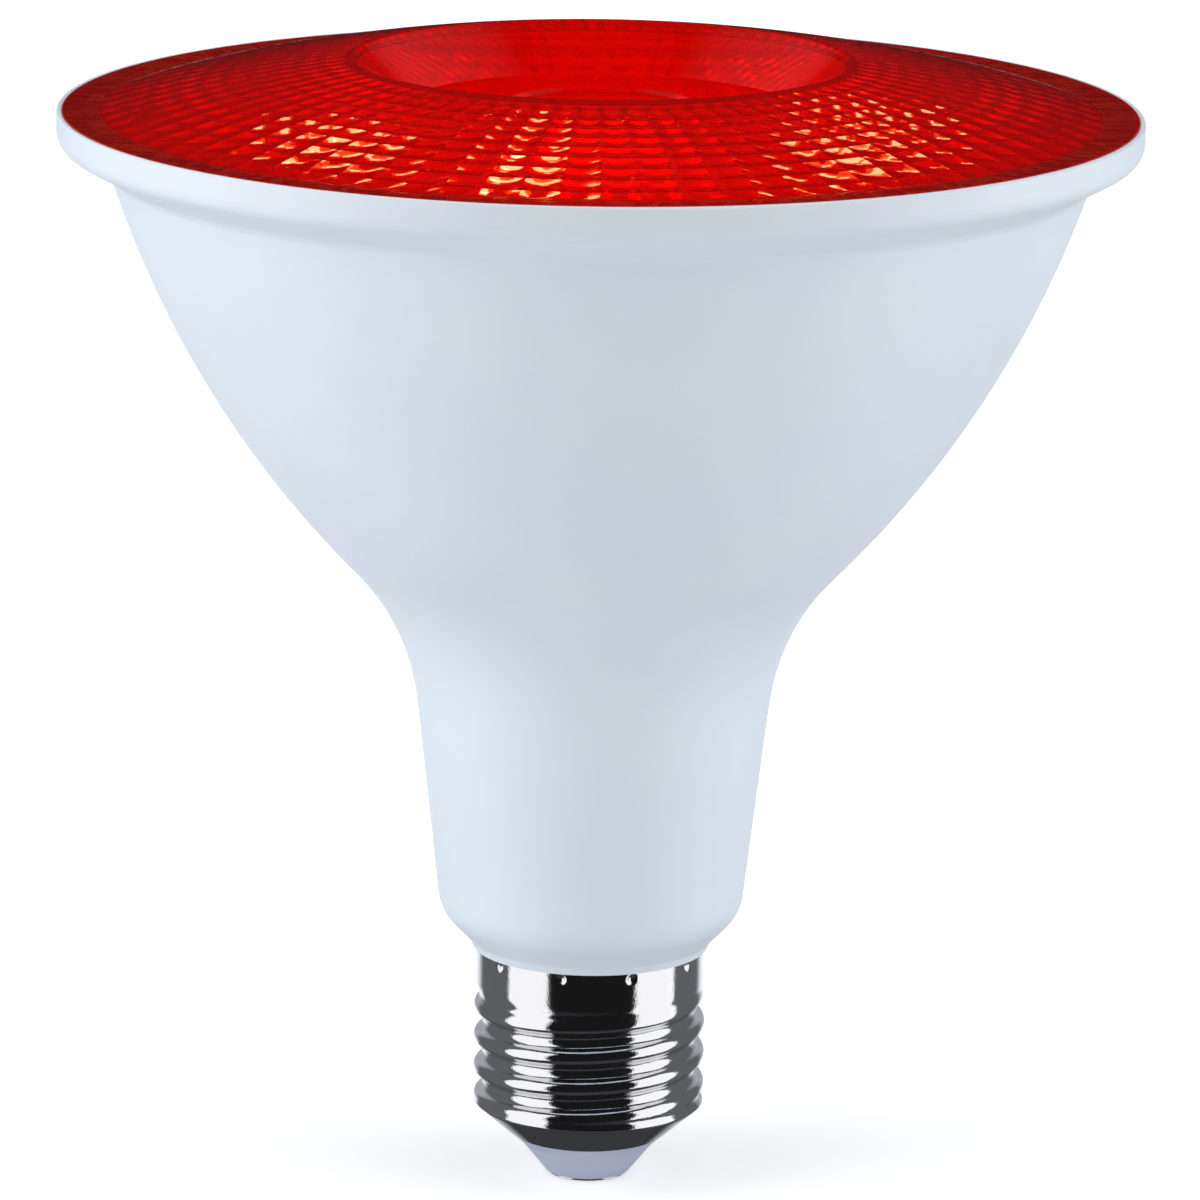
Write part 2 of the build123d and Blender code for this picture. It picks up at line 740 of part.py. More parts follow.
film_z = input_can_z + INPUT_CAN_LENGTH / 2 + PART_GAP + FILM_SIZE[2] / 2
choke_length = math.sqrt(bore_radius**2 - (CHOKE_DIA / 2) ** 2) - board_face - CHOKE_CLEAR


def driver_board():
    """Upright board in the neck's rails, with a tongue down into the screw shell."""
    half = driver_half
    tongue = TONGUE_WIDTH / 2
    shoulder = floor_height(half) + SEAT_GAP
    outline = Wire.make_polygon(
        [
            at(-tongue, TONGUE_BOTTOM),
            at(tongue, TONGUE_BOTTOM),
            at(tongue, shoulder),
            at(half, shoulder),
            at(half, driver_top),
            at(-half, driver_top),
            at(-half, shoulder),
            at(-tongue, shoulder),
        ]
    )
    return extrude(Face(outline), board_face, dir=(0, 1, 0), both=True)


bobbin_height = CORE_HEIGHT - 2 * CORE_YOKE - 2 * SLIP_GAP
bobbin_width = CORE_WIDTH - CORE_LEG - 2 * SLIP_GAP
transformer_y = -board_face - BOBBIN_DEPTH / 2


def transformer_core():
    """Closed ferrite core: two windows beside the middle leg."""
    centre = (0, transformer_y, transformer_z)
    core = block((CORE_WIDTH, CORE_DEPTH, CORE_HEIGHT), centre)
    window_width = (CORE_WIDTH - 2 * CORE_LEG) / 2
    shift = (CORE_LEG + window_width) / 2
    window = (window_width, CORE_DEPTH, CORE_HEIGHT - 2 * CORE_YOKE)
    return core - [block(window, (side * shift, transformer_y, transformer_z)) for side in (-1, 1)]


def transformer_bobbin():
    """Plastic former on the middle leg, with a flange at each end that stands on the board."""
    leg_x = CORE_LEG + 2 * SLIP_GAP
    leg_y = CORE_DEPTH + 2 * SLIP_GAP
    centre = (0, transformer_y, transformer_z)
    former = block((leg_x + 2 * BOBBIN_WALL, leg_y + 2 * BOBBIN_WALL, bobbin_height), centre)
    for side in (-1, 1):
        flange_z = transformer_z + side * (bobbin_height - BOBBIN_WALL) / 2
        flange = block((bobbin_width, BOBBIN_DEPTH, BOBBIN_WALL), (0, transformer_y, flange_z))
        former = former + flange
    return former - block((leg_x, leg_y, bobbin_height), centre)


def transformer_winding():
    """Copper winding between the flanges."""
    centre = (0, transformer_y, transformer_z)
    height = bobbin_height - 2 * BOBBIN_WALL - 2 * SLIP_GAP
    width = bobbin_width - 2 * WINDING_INSET
    depth = BOBBIN_DEPTH - 2 * WINDING_INSET
    former_x = CORE_LEG + 2 * BOBBIN_WALL + 4 * SLIP_GAP
    former_y = CORE_DEPTH + 2 * BOBBIN_WALL + 4 * SLIP_GAP
    coil = block((width, depth, height), centre)
    coil = fillet(coil.edges().filter_by(Axis.Z), BOBBIN_WALL)
    return coil - block((former_x, former_y, height), centre)


def can_capacitor(dia, length, height, side):
    """Can capacitor lying along the board, with its crimp groove near the lower end."""
    radius = dia / 2
    can = turned(
        at(0, 0),
        at(radius, 0),
        at(radius, CAN_GROOVE_Z - CAN_GROOVE),
        at(radius - CAN_GROOVE, CAN_GROOVE_Z),
        at(radius, CAN_GROOVE_Z + CAN_GROOVE),
        at(radius, length),
        at(0, length),
    )
    can = rounded(can, at(radius, 0), CAN_GROOVE)
    can = rounded(can, at(radius, length), CAN_GROOVE)
    return Pos(0, side * (board_face + radius + SLIP_GAP), height - length / 2) * can


def film_capacitor():
    width, depth, height = FILM_SIZE
    case = block((width, depth, height), (0, board_face + depth / 2, film_z))
    return fillet(case.edges().filter_by(Axis.Y), FILM_ROUND)


def flat_package(size, centre_z, legs, side):
    """Moulded package with bent legs along its two upright sides."""
    width, depth, height = size
    centre_y = side * (board_face + SEAT_GAP + (depth - SEAT_GAP) / 2)
    package = block((width, depth - SEAT_GAP, height), (0, centre_y, centre_z))
    package = chamfer(package.edges().filter_by(Axis.Z), PACKAGE_CHAMFER)
    flat = (2 * PACKAGE_LEG, PACKAGE_LEG_THICK, PACKAGE_LEG)
    riser = (PACKAGE_LEG_THICK, depth / 2, PACKAGE_LEG)
    pitch = height / legs
    for row in range(legs):
        leg_z = centre_z + (row - (legs - 1) / 2) * pitch
        for edge in (-1, 1):
            foot_x = edge * (width / 2 + PACKAGE_LEG)
            foot_y = side * (board_face + PACKAGE_LEG_THICK / 2)
            riser_x = edge * (width / 2 + PACKAGE_LEG / 2)
            riser_y = side * (board_face + depth / 4)
            shoulder_y = side * (board_face + depth / 2)
            package = package + block(flat, (foot_x, foot_y, leg_z))
            package = package + block(riser, (riser_x, riser_y, leg_z))
            package = package + block(flat, (edge * width / 2, shoulder_y, leg_z))
    return package


def choke():
    """Drum inductor standing on the tongue, with its winding in the waist."""
    drum = turned(
        at(0, 0),
        at(CHOKE_DIA / 2, 0),
        at(CHOKE_DIA / 2, CHOKE_FLANGE),
        at(CHOKE_WAIST / 2, CHOKE_FLANGE + SEAT_GAP),
        at(CHOKE_WAIST / 2, choke_length - CHOKE_FLANGE - SEAT_GAP),
        at(CHOKE_DIA / 2, choke_length - CHOKE_FLANGE),
        at(CHOKE_DIA / 2, choke_length),
        at(0, choke_length),
    )
    return Pos(0, board_face, choke_z) * Rot(X=-90) * drum


def varistor():
    disc = Cylinder(VARISTOR_DIA / 2, VARISTOR_THICK)
    disc = fillet(disc.edges(), VARISTOR_ROUND)
    return Pos(0, -board_face - VARISTOR_THICK / 2, varistor_z) * Rot(X=90) * disc


def fuse_resistor():
    """Fusible resistor along the tongue, with its two wires bent into the board."""
    wire = FUSE_WIRE_DIA / 2
    axis_y = -board_face - FUSE_DIA / 2
    body = Pos(0, axis_y, fuse_z) * Cylinder(FUSE_DIA / 2, FUSE_LENGTH)
    body = fillet(body.edges(), FUSE_ROUND)
    for side in (-1, 1):
        end = fuse_z + side * (FUSE_LENGTH / 2 + FUSE_WIRE_REACH)
        points = [(0, axis_y, fuse_z), (0, axis_y, end), (0, -board_face, end)]
        body = body + tube(wire, points, FUSE_WIRE_DIA)
    return body


# Leads
def led_lead(side):
    """Lead from the driver's top, up through the lead hole, and over on to the board's pad."""
    face_y = -board_face - lead_radius
    hole_x = side * LEAD_HOLE_DIA / 4
    start_x = side * (driver_half - LEAD_INSET)
    pad_x = side * (LEAD_HOLE_DIA / 2 + LEAD_TAIL)
    pad_z = led_board_top + lead_radius
    points = [
        (start_x, face_y, driver_top - LEAD_TAIL),
        (start_x, face_y, driver_top + LEAD_REACH),
        (hole_x, 0, cup_floor - LEAD_TAIL),
        (hole_x, 0, pad_z),
        (pad_x, 0, pad_z),
    ]
    return tube(lead_radius, points, [LEAD_BEND, LEAD_BEND, LEAD_BEND / 2])


def live_lead():
    """Lead from the tongue to the top of the contact's stem."""
    face_y = board_face + lead_radius
    points = [
        (0, face_y, TONGUE_BOTTOM + LEAD_TAIL),
        (0, face_y, TONGUE_BOTTOM - LEAD_REACH),
        (0, 0, stem_top + 2 * LEAD_REACH),
        (0, 0, stem_top),
    ]
    return tube(lead_radius, points, LEAD_BEND / 2)


def neutral_lead():
    """Lead from the tongue, under the spigot's end, out to the screw shell."""
    face_y = board_face + lead_radius
    start_x = TONGUE_WIDTH / 3
    run_z = lip_z - SPIGOT_LENGTH - LEAD_DIA
    end_x = math.sqrt((root_radius - SHELL_WALL - SLIP_GAP) ** 2 - (face_y + lead_radius) ** 2)
    points = [
        (start_x, face_y, TONGUE_BOTTOM + LEAD_TAIL),
        (start_x, face_y, run_z),
        (end_x, face_y, run_z),
    ]
    return tube(lead_radius, points, LEAD_BEND / 2)


pieces = {
    "front_lens": front_lens(),
    "lens_seal": lens_seal(),
    "housing": housing(),
    "screw_shell": screw_shell(),
    "base_insulator": base_insulator(),
    "centre_contact": centre_contact(),
    "reflector": reflector(),
    "heat_sink_cup": heat_sink_cup(),
    "thermal_pad": stack_disc(cup_floor, PAD_THICK),
    "led_board": stack_disc(led_board_z, LED_BOARD_THICK),
    "led_emitters": led_emitters(),
    "board_screws": board_screws(),
    "driver_board": driver_board(),
    "transformer_core": transformer_core(),
    "transformer_bobbin": transformer_bobbin(),
    "transformer_winding": transformer_winding(),
    "input_capacitor": can_capacitor(INPUT_CAN_DIA, INPUT_CAN_LENGTH, input_can_z, 1),
    "output_capacitor": can_capacitor(OUTPUT_CAN_DIA, OUTPUT_CAN_LENGTH, output_can_z, -1),
    "film_capacitor": film_capacitor(),
    "bridge_rectifier": flat_package(BRIDGE_SIZE, bridge_z, BRIDGE_LEGS, 1),
    "controller_chip": flat_package(CHIP_SIZE, chip_z, CHIP_LEGS, -1),
    "choke": choke(),
    "varistor": varistor(),
    "fuse_resistor": fuse_resistor(),
    "led_lead_plus": led_lead(1),
    "led_lead_minus": led_lead(-1),
    "live_lead": live_lead(),
    "neutral_lead": neutral_lead(),
}

os.makedirs("parts", exist_ok=True)
for node, solid in pieces.items():
    export_step(solid, f"parts/{node}.step")
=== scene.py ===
# %% [markdown]
# # A red spotlight bulb
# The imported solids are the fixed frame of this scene: every piece is in metres, with the origin in
# the middle of the contact's underside and +Z up the optical axis. Blender adds what the solids
# lack: finishes, a lens and a screw shell fine enough for their reflections, a camera and a small
# photo studio.

# %% Load the frame
import math

import bpy
from mathutils import Matrix, Vector


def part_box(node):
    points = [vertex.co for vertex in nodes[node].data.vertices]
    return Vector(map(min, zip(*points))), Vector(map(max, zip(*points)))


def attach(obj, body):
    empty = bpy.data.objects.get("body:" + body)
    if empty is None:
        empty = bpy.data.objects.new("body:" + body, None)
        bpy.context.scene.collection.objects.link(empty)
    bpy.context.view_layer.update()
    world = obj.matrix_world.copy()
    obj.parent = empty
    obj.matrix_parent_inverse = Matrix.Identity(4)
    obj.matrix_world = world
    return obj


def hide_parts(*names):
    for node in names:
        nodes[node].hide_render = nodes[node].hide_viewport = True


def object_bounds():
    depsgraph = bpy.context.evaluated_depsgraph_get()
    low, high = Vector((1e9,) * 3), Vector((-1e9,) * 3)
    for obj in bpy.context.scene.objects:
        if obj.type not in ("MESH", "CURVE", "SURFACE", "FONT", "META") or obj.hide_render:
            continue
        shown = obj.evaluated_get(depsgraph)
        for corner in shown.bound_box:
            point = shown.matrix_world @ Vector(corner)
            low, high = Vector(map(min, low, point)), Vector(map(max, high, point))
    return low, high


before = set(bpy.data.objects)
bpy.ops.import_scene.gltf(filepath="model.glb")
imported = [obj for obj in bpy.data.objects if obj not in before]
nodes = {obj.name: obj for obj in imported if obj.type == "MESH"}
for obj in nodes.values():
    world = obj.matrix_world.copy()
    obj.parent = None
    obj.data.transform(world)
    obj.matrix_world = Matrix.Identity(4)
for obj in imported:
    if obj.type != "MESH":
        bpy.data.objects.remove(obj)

MM = 0.001
cad_low, cad_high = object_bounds()
print("CAD box", [round(side, 4) for side in cad_high - cad_low], "with", len(nodes), "nodes")

# %% [markdown]
# ## Camera
# The photograph was taken with a long lens from a little above the rim, so upright lines stay nearly
# parallel and the lens shows as a flat ellipse. The bulb leans by less than a degree in the picture.
# A rolled camera gives that lean and leaves the bulb upright in its own frame.

# %% Camera
CAMERA_BACK = 0.8
CAMERA_RISE = 0.13505
CAMERA_LENS = 218.9
CAMERA_ROLL = 0.0135
TARGET_DROP = 0.05593
TARGET_SIDE = 0.0006
CAMERA_REACH = 20

rim_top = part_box("housing")[1].z


def aim(eye, target, roll=0.0):
    """Placement at eye that looks along -Z at the target, turned about that line by roll."""
    back = (eye - target).normalized()
    right = Vector((0, 0, 1)).cross(back).normalized()
    up = back.cross(right)
    rolled_right = right * math.cos(roll) + up * math.sin(roll)
    rolled_up = up * math.cos(roll) - right * math.sin(roll)
    turn = Matrix((rolled_right, rolled_up, back)).transposed().to_4x4()
    return Matrix.Translation(eye) @ turn


camera = bpy.data.objects.new("camera", bpy.data.cameras.new("camera"))
bpy.context.scene.collection.objects.link(camera)
camera.data.lens = CAMERA_LENS
camera.data.clip_end = CAMERA_REACH
camera.matrix_world = aim(
    Vector((0, -CAMERA_BACK, rim_top + CAMERA_RISE)),
    Vector((TARGET_SIDE, 0, rim_top - TARGET_DROP)),
    CAMERA_ROLL,
)
bpy.context.scene.camera = camera
print("camera", [round(x, 3) for x in camera.location])

# %% [markdown]
# ## Node helpers
# Materials and Geometry Nodes trees are both node trees. One helper adds a node, sets its options
# and fills its inputs, either with a value or with a link from another node's output.

# %% Node helpers


def add_node(tree, kind, values=None, **settings):
    """A new node with its settings, and inputs given by name or place as values or links."""
    made = tree.nodes.new(kind)
    for name, value in settings.items():
        setattr(made, name, value)
    for key, value in (values or {}).items():
        if isinstance(value, bpy.types.NodeSocket):
            tree.links.new(value, made.inputs[key])
        else:
            made.inputs[key].default_value = value
    return made


def calc(tree, operation, *values):
    """Output of a Math node."""
    return add_node(tree, "ShaderNodeMath", dict(enumerate(values)), operation=operation).outputs[0]


def ramp(tree, value, start, end, low, high):
    """Numbers from low to high while a value goes from start to end, and no further."""
    values = {"Value": value, "From Min": start, "From Max": end, "To Min": low, "To Max": high}
    return add_node(tree, "ShaderNodeMapRange", values).outputs[0]


# %% [markdown]
# Every finish starts from a Principled shader with its constants on the shader's own sockets. Noise
# on Object coordinates, which stay with the piece, then varies the colour, the roughness or the relief.

# %% Finish helpers
NOISE_LOW = 0.3
NOISE_HIGH = 0.7


def new_finish(name, colour, roughness, metallic=0.0):
    """A material with its Principled shader, and constants on the shader's own sockets."""
    material = bpy.data.materials.new(name)
    material.use_nodes = True
    tree = material.node_tree
    shader = tree.nodes["Principled BSDF"]
    shader.inputs["Base Color"].default_value = (*colour, 1)
    shader.inputs["Roughness"].default_value = roughness
    shader.inputs["Metallic"].default_value = metallic
    return material, tree, shader


def speckle(tree, scale, detail=2.0):
    """Noise that is fixed to the piece, with so many spots to the metre."""
    place = add_node(tree, "ShaderNodeTexCoord").outputs["Object"]
    noise = add_node(tree, "ShaderNodeTexNoise", {"Vector": place, "Scale": scale, "Detail": detail})
    return noise.outputs["Fac"]


def roughen(tree, shader, height, depth, strength=1.0):
    """Surface relief of a depth in metres."""
    bump = add_node(tree, "ShaderNodeBump", {"Height": height, "Distance": depth, "Strength": strength})
    tree.links.new(bump.outputs["Normal"], shader.inputs["Normal"])


def spread(tree, factor, low, high):
    """Numbers from low to high along a noise's middle range."""
    return ramp(tree, factor, NOISE_LOW, NOISE_HIGH, low, high)


def tones(tree, factor, dark, light):
    """Colours from dark to light along a noise's middle range."""
    mix = add_node(tree, "ShaderNodeMix", {0: spread(tree, factor, 0, 1)}, data_type="RGBA")
    mix.inputs[6].default_value = (*dark, 1)
    mix.inputs[7].default_value = (*light, 1)
    return mix.outputs[2]


def dress(material, *names):
    """Gives CAD nodes a finish."""
    for name in names:
        slots = nodes[name].data.materials
        slots.clear()
        slots.append(material)
    print(material.name, "on", ", ".join(names))


# %% [markdown]
# ## Finishes of the pieces that show
# The lens is clear plastic with a strong red dye. Nearly all green and blue is lost on the way
# through, so the lens is pure red, and only the image of a lamp burns through as orange and white. A
# small share of plain diffuse colour stands for the light that the dye scatters.

# %% Red lens
LENS_RED = (0.92, 0.004, 0.0005)
LENS_CLEAR = 0.82
LENS_IOR = 1.585
LENS_RIPPLES = 900
LENS_RIPPLE_DEPTH = 0.01 * MM
LENS_RIPPLE_STRENGTH = 0.3


def clear_red():
    material, tree, shader = new_finish("clear_red", LENS_RED, 0.0)
    shader.inputs["Transmission Weight"].default_value = LENS_CLEAR
    shader.inputs["IOR"].default_value = LENS_IOR
    ripples = speckle(tree, LENS_RIPPLES)
    roughen(tree, shader, ripples, LENS_RIPPLE_DEPTH, LENS_RIPPLE_STRENGTH)
    return material


red_lens = clear_red()

# %% [markdown]
# The housing is white plastic with a cool tint and the fine grain of a spark-eroded mould: a grain in
# the relief and the roughness, and a very soft cloud in the colour.

# %% White plastic
HOUSING_WHITE = (0.725, 0.80, 0.88)
HOUSING_SHADE = (0.70, 0.775, 0.86)
HOUSING_ROUGHNESS = (0.44, 0.54)
HOUSING_GRAIN = 5200
HOUSING_GRAIN_DEPTH = 0.02 * MM
HOUSING_GRAIN_STRENGTH = 0.35
HOUSING_CLOUDS = 60


def moulded_white():
    material, tree, shader = new_finish("moulded_white", HOUSING_WHITE, HOUSING_ROUGHNESS[0])
    grain = speckle(tree, HOUSING_GRAIN, 3)
    cloud = speckle(tree, HOUSING_CLOUDS)
    tree.links.new(tones(tree, cloud, HOUSING_SHADE, HOUSING_WHITE), shader.inputs["Base Color"])
    tree.links.new(spread(tree, grain, *HOUSING_ROUGHNESS), shader.inputs["Roughness"])
    roughen(tree, shader, grain, HOUSING_GRAIN_DEPTH, HOUSING_GRAIN_STRENGTH)
    return material


dress(moulded_white(), "housing")

# %% [markdown]
# The cap is bright nickel on pressed brass, which shows the studio. Its polish is not perfect: a fine
# grain of a quarter of a millimetre breaks up the edges of the reflected lamps.

# %% Bright nickel
NICKEL = (0.70, 0.70, 0.715)
NICKEL_ROUGHNESS = (0.04, 0.11)
NICKEL_CLOUDS = 2600
NICKEL_GRAIN = 4000
NICKEL_GRAIN_DEPTH = 0.009 * MM


def bright_nickel():
    material, tree, shader = new_finish("bright_nickel", NICKEL, NICKEL_ROUGHNESS[0], 1.0)
    clouds = speckle(tree, NICKEL_CLOUDS, 4)
    tree.links.new(spread(tree, clouds, *NICKEL_ROUGHNESS), shader.inputs["Roughness"])
    roughen(tree, shader, speckle(tree, NICKEL_GRAIN, 3), NICKEL_GRAIN_DEPTH)
    return material


nickel = bright_nickel()
dress(nickel, "centre_contact")

# %% [markdown]
# The insulator under the cap is a pale lavender moulding with a faint mottle.

# %% Insulator
INSULATOR_PALE = (0.58, 0.63, 0.77)
INSULATOR_DEEP = (0.54, 0.59, 0.73)
INSULATOR_ROUGHNESS = 0.4
INSULATOR_CLOUDS = 400
INSULATOR_GRAIN = 3000
INSULATOR_GRAIN_DEPTH = 0.02 * MM
INSULATOR_GRAIN_STRENGTH = 0.3


def pale_insulator():
    material, tree, shader = new_finish("pale_insulator", INSULATOR_PALE, INSULATOR_ROUGHNESS)
    cloud = speckle(tree, INSULATOR_CLOUDS, 3)
    tree.links.new(tones(tree, cloud, INSULATOR_DEEP, INSULATOR_PALE), shader.inputs["Base Color"])
    grain = speckle(tree, INSULATOR_GRAIN)
    roughen(tree, shader, grain, INSULATOR_GRAIN_DEPTH, INSULATOR_GRAIN_STRENGTH)
    return material


dress(pale_insulator(), "base_insulator")

# %% [markdown]
# ## Finishes inside
# The lens shows what lies under it, and the bulb may be opened, so the inner pieces have their own
# finishes too. They are alike in build, a mottled colour with a fine grain, so one function makes them
# from a short list.

# %% Inner finishes
INNER_RELIEF_STRENGTH = 0.3


def plain_finish(name, dark, light, roughness, metallic=0.0, scale=900, depth=0.01):
    """A mottle from dark to light, with so many spots to the metre and a relief in millimetres."""
    material, tree, shader = new_finish(name, light, roughness, metallic)
    mottle = speckle(tree, scale, 3)
    tree.links.new(tones(tree, mottle, dark, light), shader.inputs["Base Color"])
    roughen(tree, shader, mottle, depth * MM, INNER_RELIEF_STRENGTH)
    return material


mirror_coat = plain_finish("mirror_coat", (0.86, 0.86, 0.87), (0.9, 0.9, 0.91), 0.12, 1.0, 300, 0.004)
satin_aluminium = plain_finish("satin_aluminium", (0.7, 0.7, 0.71), (0.8, 0.8, 0.81), 0.35, 1.0)
soft_silicone = plain_finish("soft_silicone", (0.84, 0.84, 0.82), (0.92, 0.92, 0.9), 0.6)
white_mask = plain_finish("white_mask", (0.84, 0.84, 0.82), (0.9, 0.9, 0.88), 0.35)
emitter_yellow = plain_finish("emitter_yellow", (0.85, 0.62, 0.15), (0.92, 0.74, 0.28), 0.3, 0, 2500)
plated_steel = plain_finish("plated_steel", (0.52, 0.52, 0.52), (0.64, 0.64, 0.63), 0.25, 1.0)
dress(mirror_coat, "reflector")
dress(satin_aluminium, "heat_sink_cup")
dress(soft_silicone, "lens_seal", "thermal_pad")
dress(white_mask, "led_board")
dress(emitter_yellow, "led_emitters")
dress(plated_steel, "board_screws")

# %% Driver finishes
green_mask = plain_finish("green_mask", (0.035, 0.17, 0.08), (0.06, 0.26, 0.12), 0.35)
dark_ferrite = plain_finish("dark_ferrite", (0.07, 0.07, 0.075), (0.14, 0.14, 0.15), 0.55)
black_bobbin = plain_finish("black_bobbin", (0.03, 0.03, 0.033), (0.06, 0.06, 0.065), 0.5)
copper_coil = plain_finish("copper_coil", (0.5, 0.25, 0.09), (0.66, 0.36, 0.14), 0.3, 0.6)
shrink_sleeve = plain_finish("shrink_sleeve", (0.02, 0.025, 0.06), (0.045, 0.055, 0.11), 0.25)
yellow_case = plain_finish("yellow_case", (0.68, 0.5, 0.07), (0.78, 0.62, 0.12), 0.3)
black_package = plain_finish("black_package", (0.025, 0.025, 0.028), (0.05, 0.05, 0.055), 0.5)
blue_coating = plain_finish("blue_coating", (0.06, 0.22, 0.5), (0.1, 0.32, 0.62), 0.3)
grey_cement = plain_finish("grey_cement", (0.38, 0.48, 0.44), (0.48, 0.58, 0.53), 0.7)
red_sleeve = plain_finish("red_sleeve", (0.5, 0.03, 0.02), (0.62, 0.045, 0.03), 0.35)
black_sleeve = plain_finish("black_sleeve", (0.02, 0.02, 0.02), (0.04, 0.04, 0.04), 0.35)
white_sleeve = plain_finish("white_sleeve", (0.78, 0.78, 0.76), (0.86, 0.86, 0.84), 0.35)
dress(green_mask, "driver_board")
dress(dark_ferrite, "transformer_core", "choke")
dress(black_bobbin, "transformer_bobbin")
dress(copper_coil, "transformer_winding")
dress(shrink_sleeve, "input_capacitor", "output_capacitor")
dress(yellow_case, "film_capacitor")
dress(black_package, "bridge_rectifier", "controller_chip")
dress(blue_coating, "varistor")
dress(grey_cement, "fuse_resistor")
dress(red_sleeve, "led_lead_plus")
dress(black_sleeve, "led_lead_minus", "live_lead")
dress(white_sleeve, "neutral_lead")

# %% [markdown]
# ## Rolling a section round the axis
# The lens and the screw shell are both a section turned round the axis, with something more: facets
# in the one, a thread in the other. A Spin would only turn them, and the rest would have to be cut in
# afterwards. Here a Geometry Nodes tree rolls a flat grid instead. Each row of the grid belongs to one
# point of the section and reads that point's marks: its radius, its height, and how much of the
# facets or of the thread it takes.

# %% Rolling helpers
SEAM_GAP = 0.001 * MM


def rolling_tree(name, numbers):
    """Geometry Nodes tree with inputs for a section, some numbers and a material."""
    tree = bpy.data.node_groups.new(name, "GeometryNodeTree")
    kinds = {"Section": "NodeSocketGeometry", **numbers, "Material": "NodeSocketMaterial"}
    for label, kind in kinds.items():
        tree.interface.new_socket(label, in_out="INPUT", socket_type=kind)
    tree.interface.new_socket("Geometry", in_out="OUTPUT", socket_type="NodeSocketGeometry")
    return tree, add_node(tree, "NodeGroupInput").outputs


def roll_grid(tree, section, columns):
    """Flat grid with a row for each section point, its turn from 0 to 1, and a reader of marks."""
    rows = add_node(tree, "GeometryNodeAttributeDomainSize", {0: section}).outputs["Point Count"]
    across = calc(tree, "ADD", columns, 1.0)
    sizes = {"Size X": 1.0, "Size Y": 1.0, "Vertices X": across, "Vertices Y": rows}
    grid = add_node(tree, "GeometryNodeMeshGrid", sizes).outputs["Mesh"]
    place = add_node(tree, "GeometryNodeInputPosition").outputs[0]
    place = add_node(tree, "ShaderNodeSeparateXYZ", {0: place}).outputs
    turn = calc(tree, "ADD", place["X"], 0.5)
    last_row = calc(tree, "SUBTRACT", rows, 1.0)
    row = calc(tree, "ROUND", calc(tree, "MULTIPLY", calc(tree, "ADD", place["Y"], 0.5), last_row))

    def mark(name):
        named = add_node(tree, "GeometryNodeInputNamedAttribute", {"Name": name}, data_type="FLOAT")
        values = {"Geometry": section, "Value": named.outputs["Attribute"], "Index": row}
        return add_node(tree, "GeometryNodeSampleIndex", values, data_type="FLOAT").outputs[0]

    return grid, turn, mark


def close_roll(tree, grid, turn, radius, height, creases, material):
    """Rolls the grid's points round the axis, keeps creased edges sharp, and closes the seam."""
    angle = calc(tree, "MULTIPLY", turn, 2 * math.pi)
    x = calc(tree, "MULTIPLY", radius, calc(tree, "COSINE", angle))
    y = calc(tree, "MULTIPLY", radius, calc(tree, "SINE", angle))
    rolled = add_node(tree, "ShaderNodeCombineXYZ", {"X": x, "Y": y, "Z": height}).outputs[0]
    sharp = False
    for crease in creases:
        kept = {0: calc(tree, "GREATER_THAN", crease, 0.5)}
        kept = add_node(tree, "GeometryNodeFieldOnDomain", kept, domain="POINT", data_type="BOOLEAN")
        kept = kept.outputs[0]
        sharp = add_node(tree, "FunctionNodeBooleanMath", {0: kept, 1: sharp}, operation="OR").outputs[0]
    smooth = add_node(tree, "GeometryNodeSetShadeSmooth", {0: grid, 2: True}, domain="FACE").outputs[0]
    edges = {0: smooth, "Selection": sharp, 2: False}
    smooth = add_node(tree, "GeometryNodeSetShadeSmooth", edges, domain="EDGE").outputs[0]
    moved = {"Geometry": smooth, "Position": rolled}
    shaped = add_node(tree, "GeometryNodeSetPosition", moved).outputs[0]
    outward = add_node(tree, "GeometryNodeFlipFaces", {0: shaped}).outputs[0]
    closed = add_node(tree, "GeometryNodeMergeByDistance", {0: outward, "Distance": SEAM_GAP}).outputs[0]
    real = add_node(tree, "GeometryNodeRealizeInstances", {0: closed}).outputs[0]
    dressed = add_node(tree, "GeometryNodeSetMaterial", {0: real, "Material": material}).outputs[0]
    add_node(tree, "NodeGroupOutput", {0: dressed})


# %% [markdown]
# The section goes into the tree as loose points with named marks. The made mesh is then kept as a
# plain mesh, and its volume is measured: a positive one shows that its faces point outwards.

# %% Roll a section
MILLILITRES = 1e6


def roll_section(name, section, tree, numbers, material):
    """The mesh object that a tree makes from a section, a list of marks by name for each point."""
    mesh = bpy.data.meshes.new(name)
    mesh.from_pydata([(point["radius"], 0, point["height"]) for point in section], [], [])
    for mark in sorted({mark for point in section for mark in point}):
        values = mesh.attributes.new(mark, "FLOAT", "POINT").data
        values.foreach_set("value", [point.get(mark, 0.0) for point in section])
    piece = bpy.data.objects.new(name, mesh)
    bpy.context.scene.collection.objects.link(piece)
    modifier = piece.modifiers.new("rolling", "NODES")
    modifier.node_group = tree
    sockets = tree.interface.items_tree
    inputs = {socket.name: socket.identifier for socket in sockets if socket.in_out == "INPUT"}
    for label, value in {**numbers, "Material": material}.items():
        modifier[inputs[label]] = value
    graph = bpy.context.evaluated_depsgraph_get()
    finished = bpy.data.meshes.new_from_object(piece.evaluated_get(graph))
    finished.materials.clear()
    finished.materials.append(material)
    finished.polygons.foreach_set("material_index", [0] * len(finished.polygons))
    piece.modifiers.clear()
    piece.data = finished
    finished.calc_loop_triangles()
    volume = 0
    for triangle in finished.loop_triangles:
        first, second, third = (finished.vertices[corner].co for corner in triangle.vertices)
        volume += first.dot(second.cross(third)) / 6
    print(name, len(finished.loop_triangles), "triangles,", round(volume * MILLILITRES, 3), "ml")
    return piece


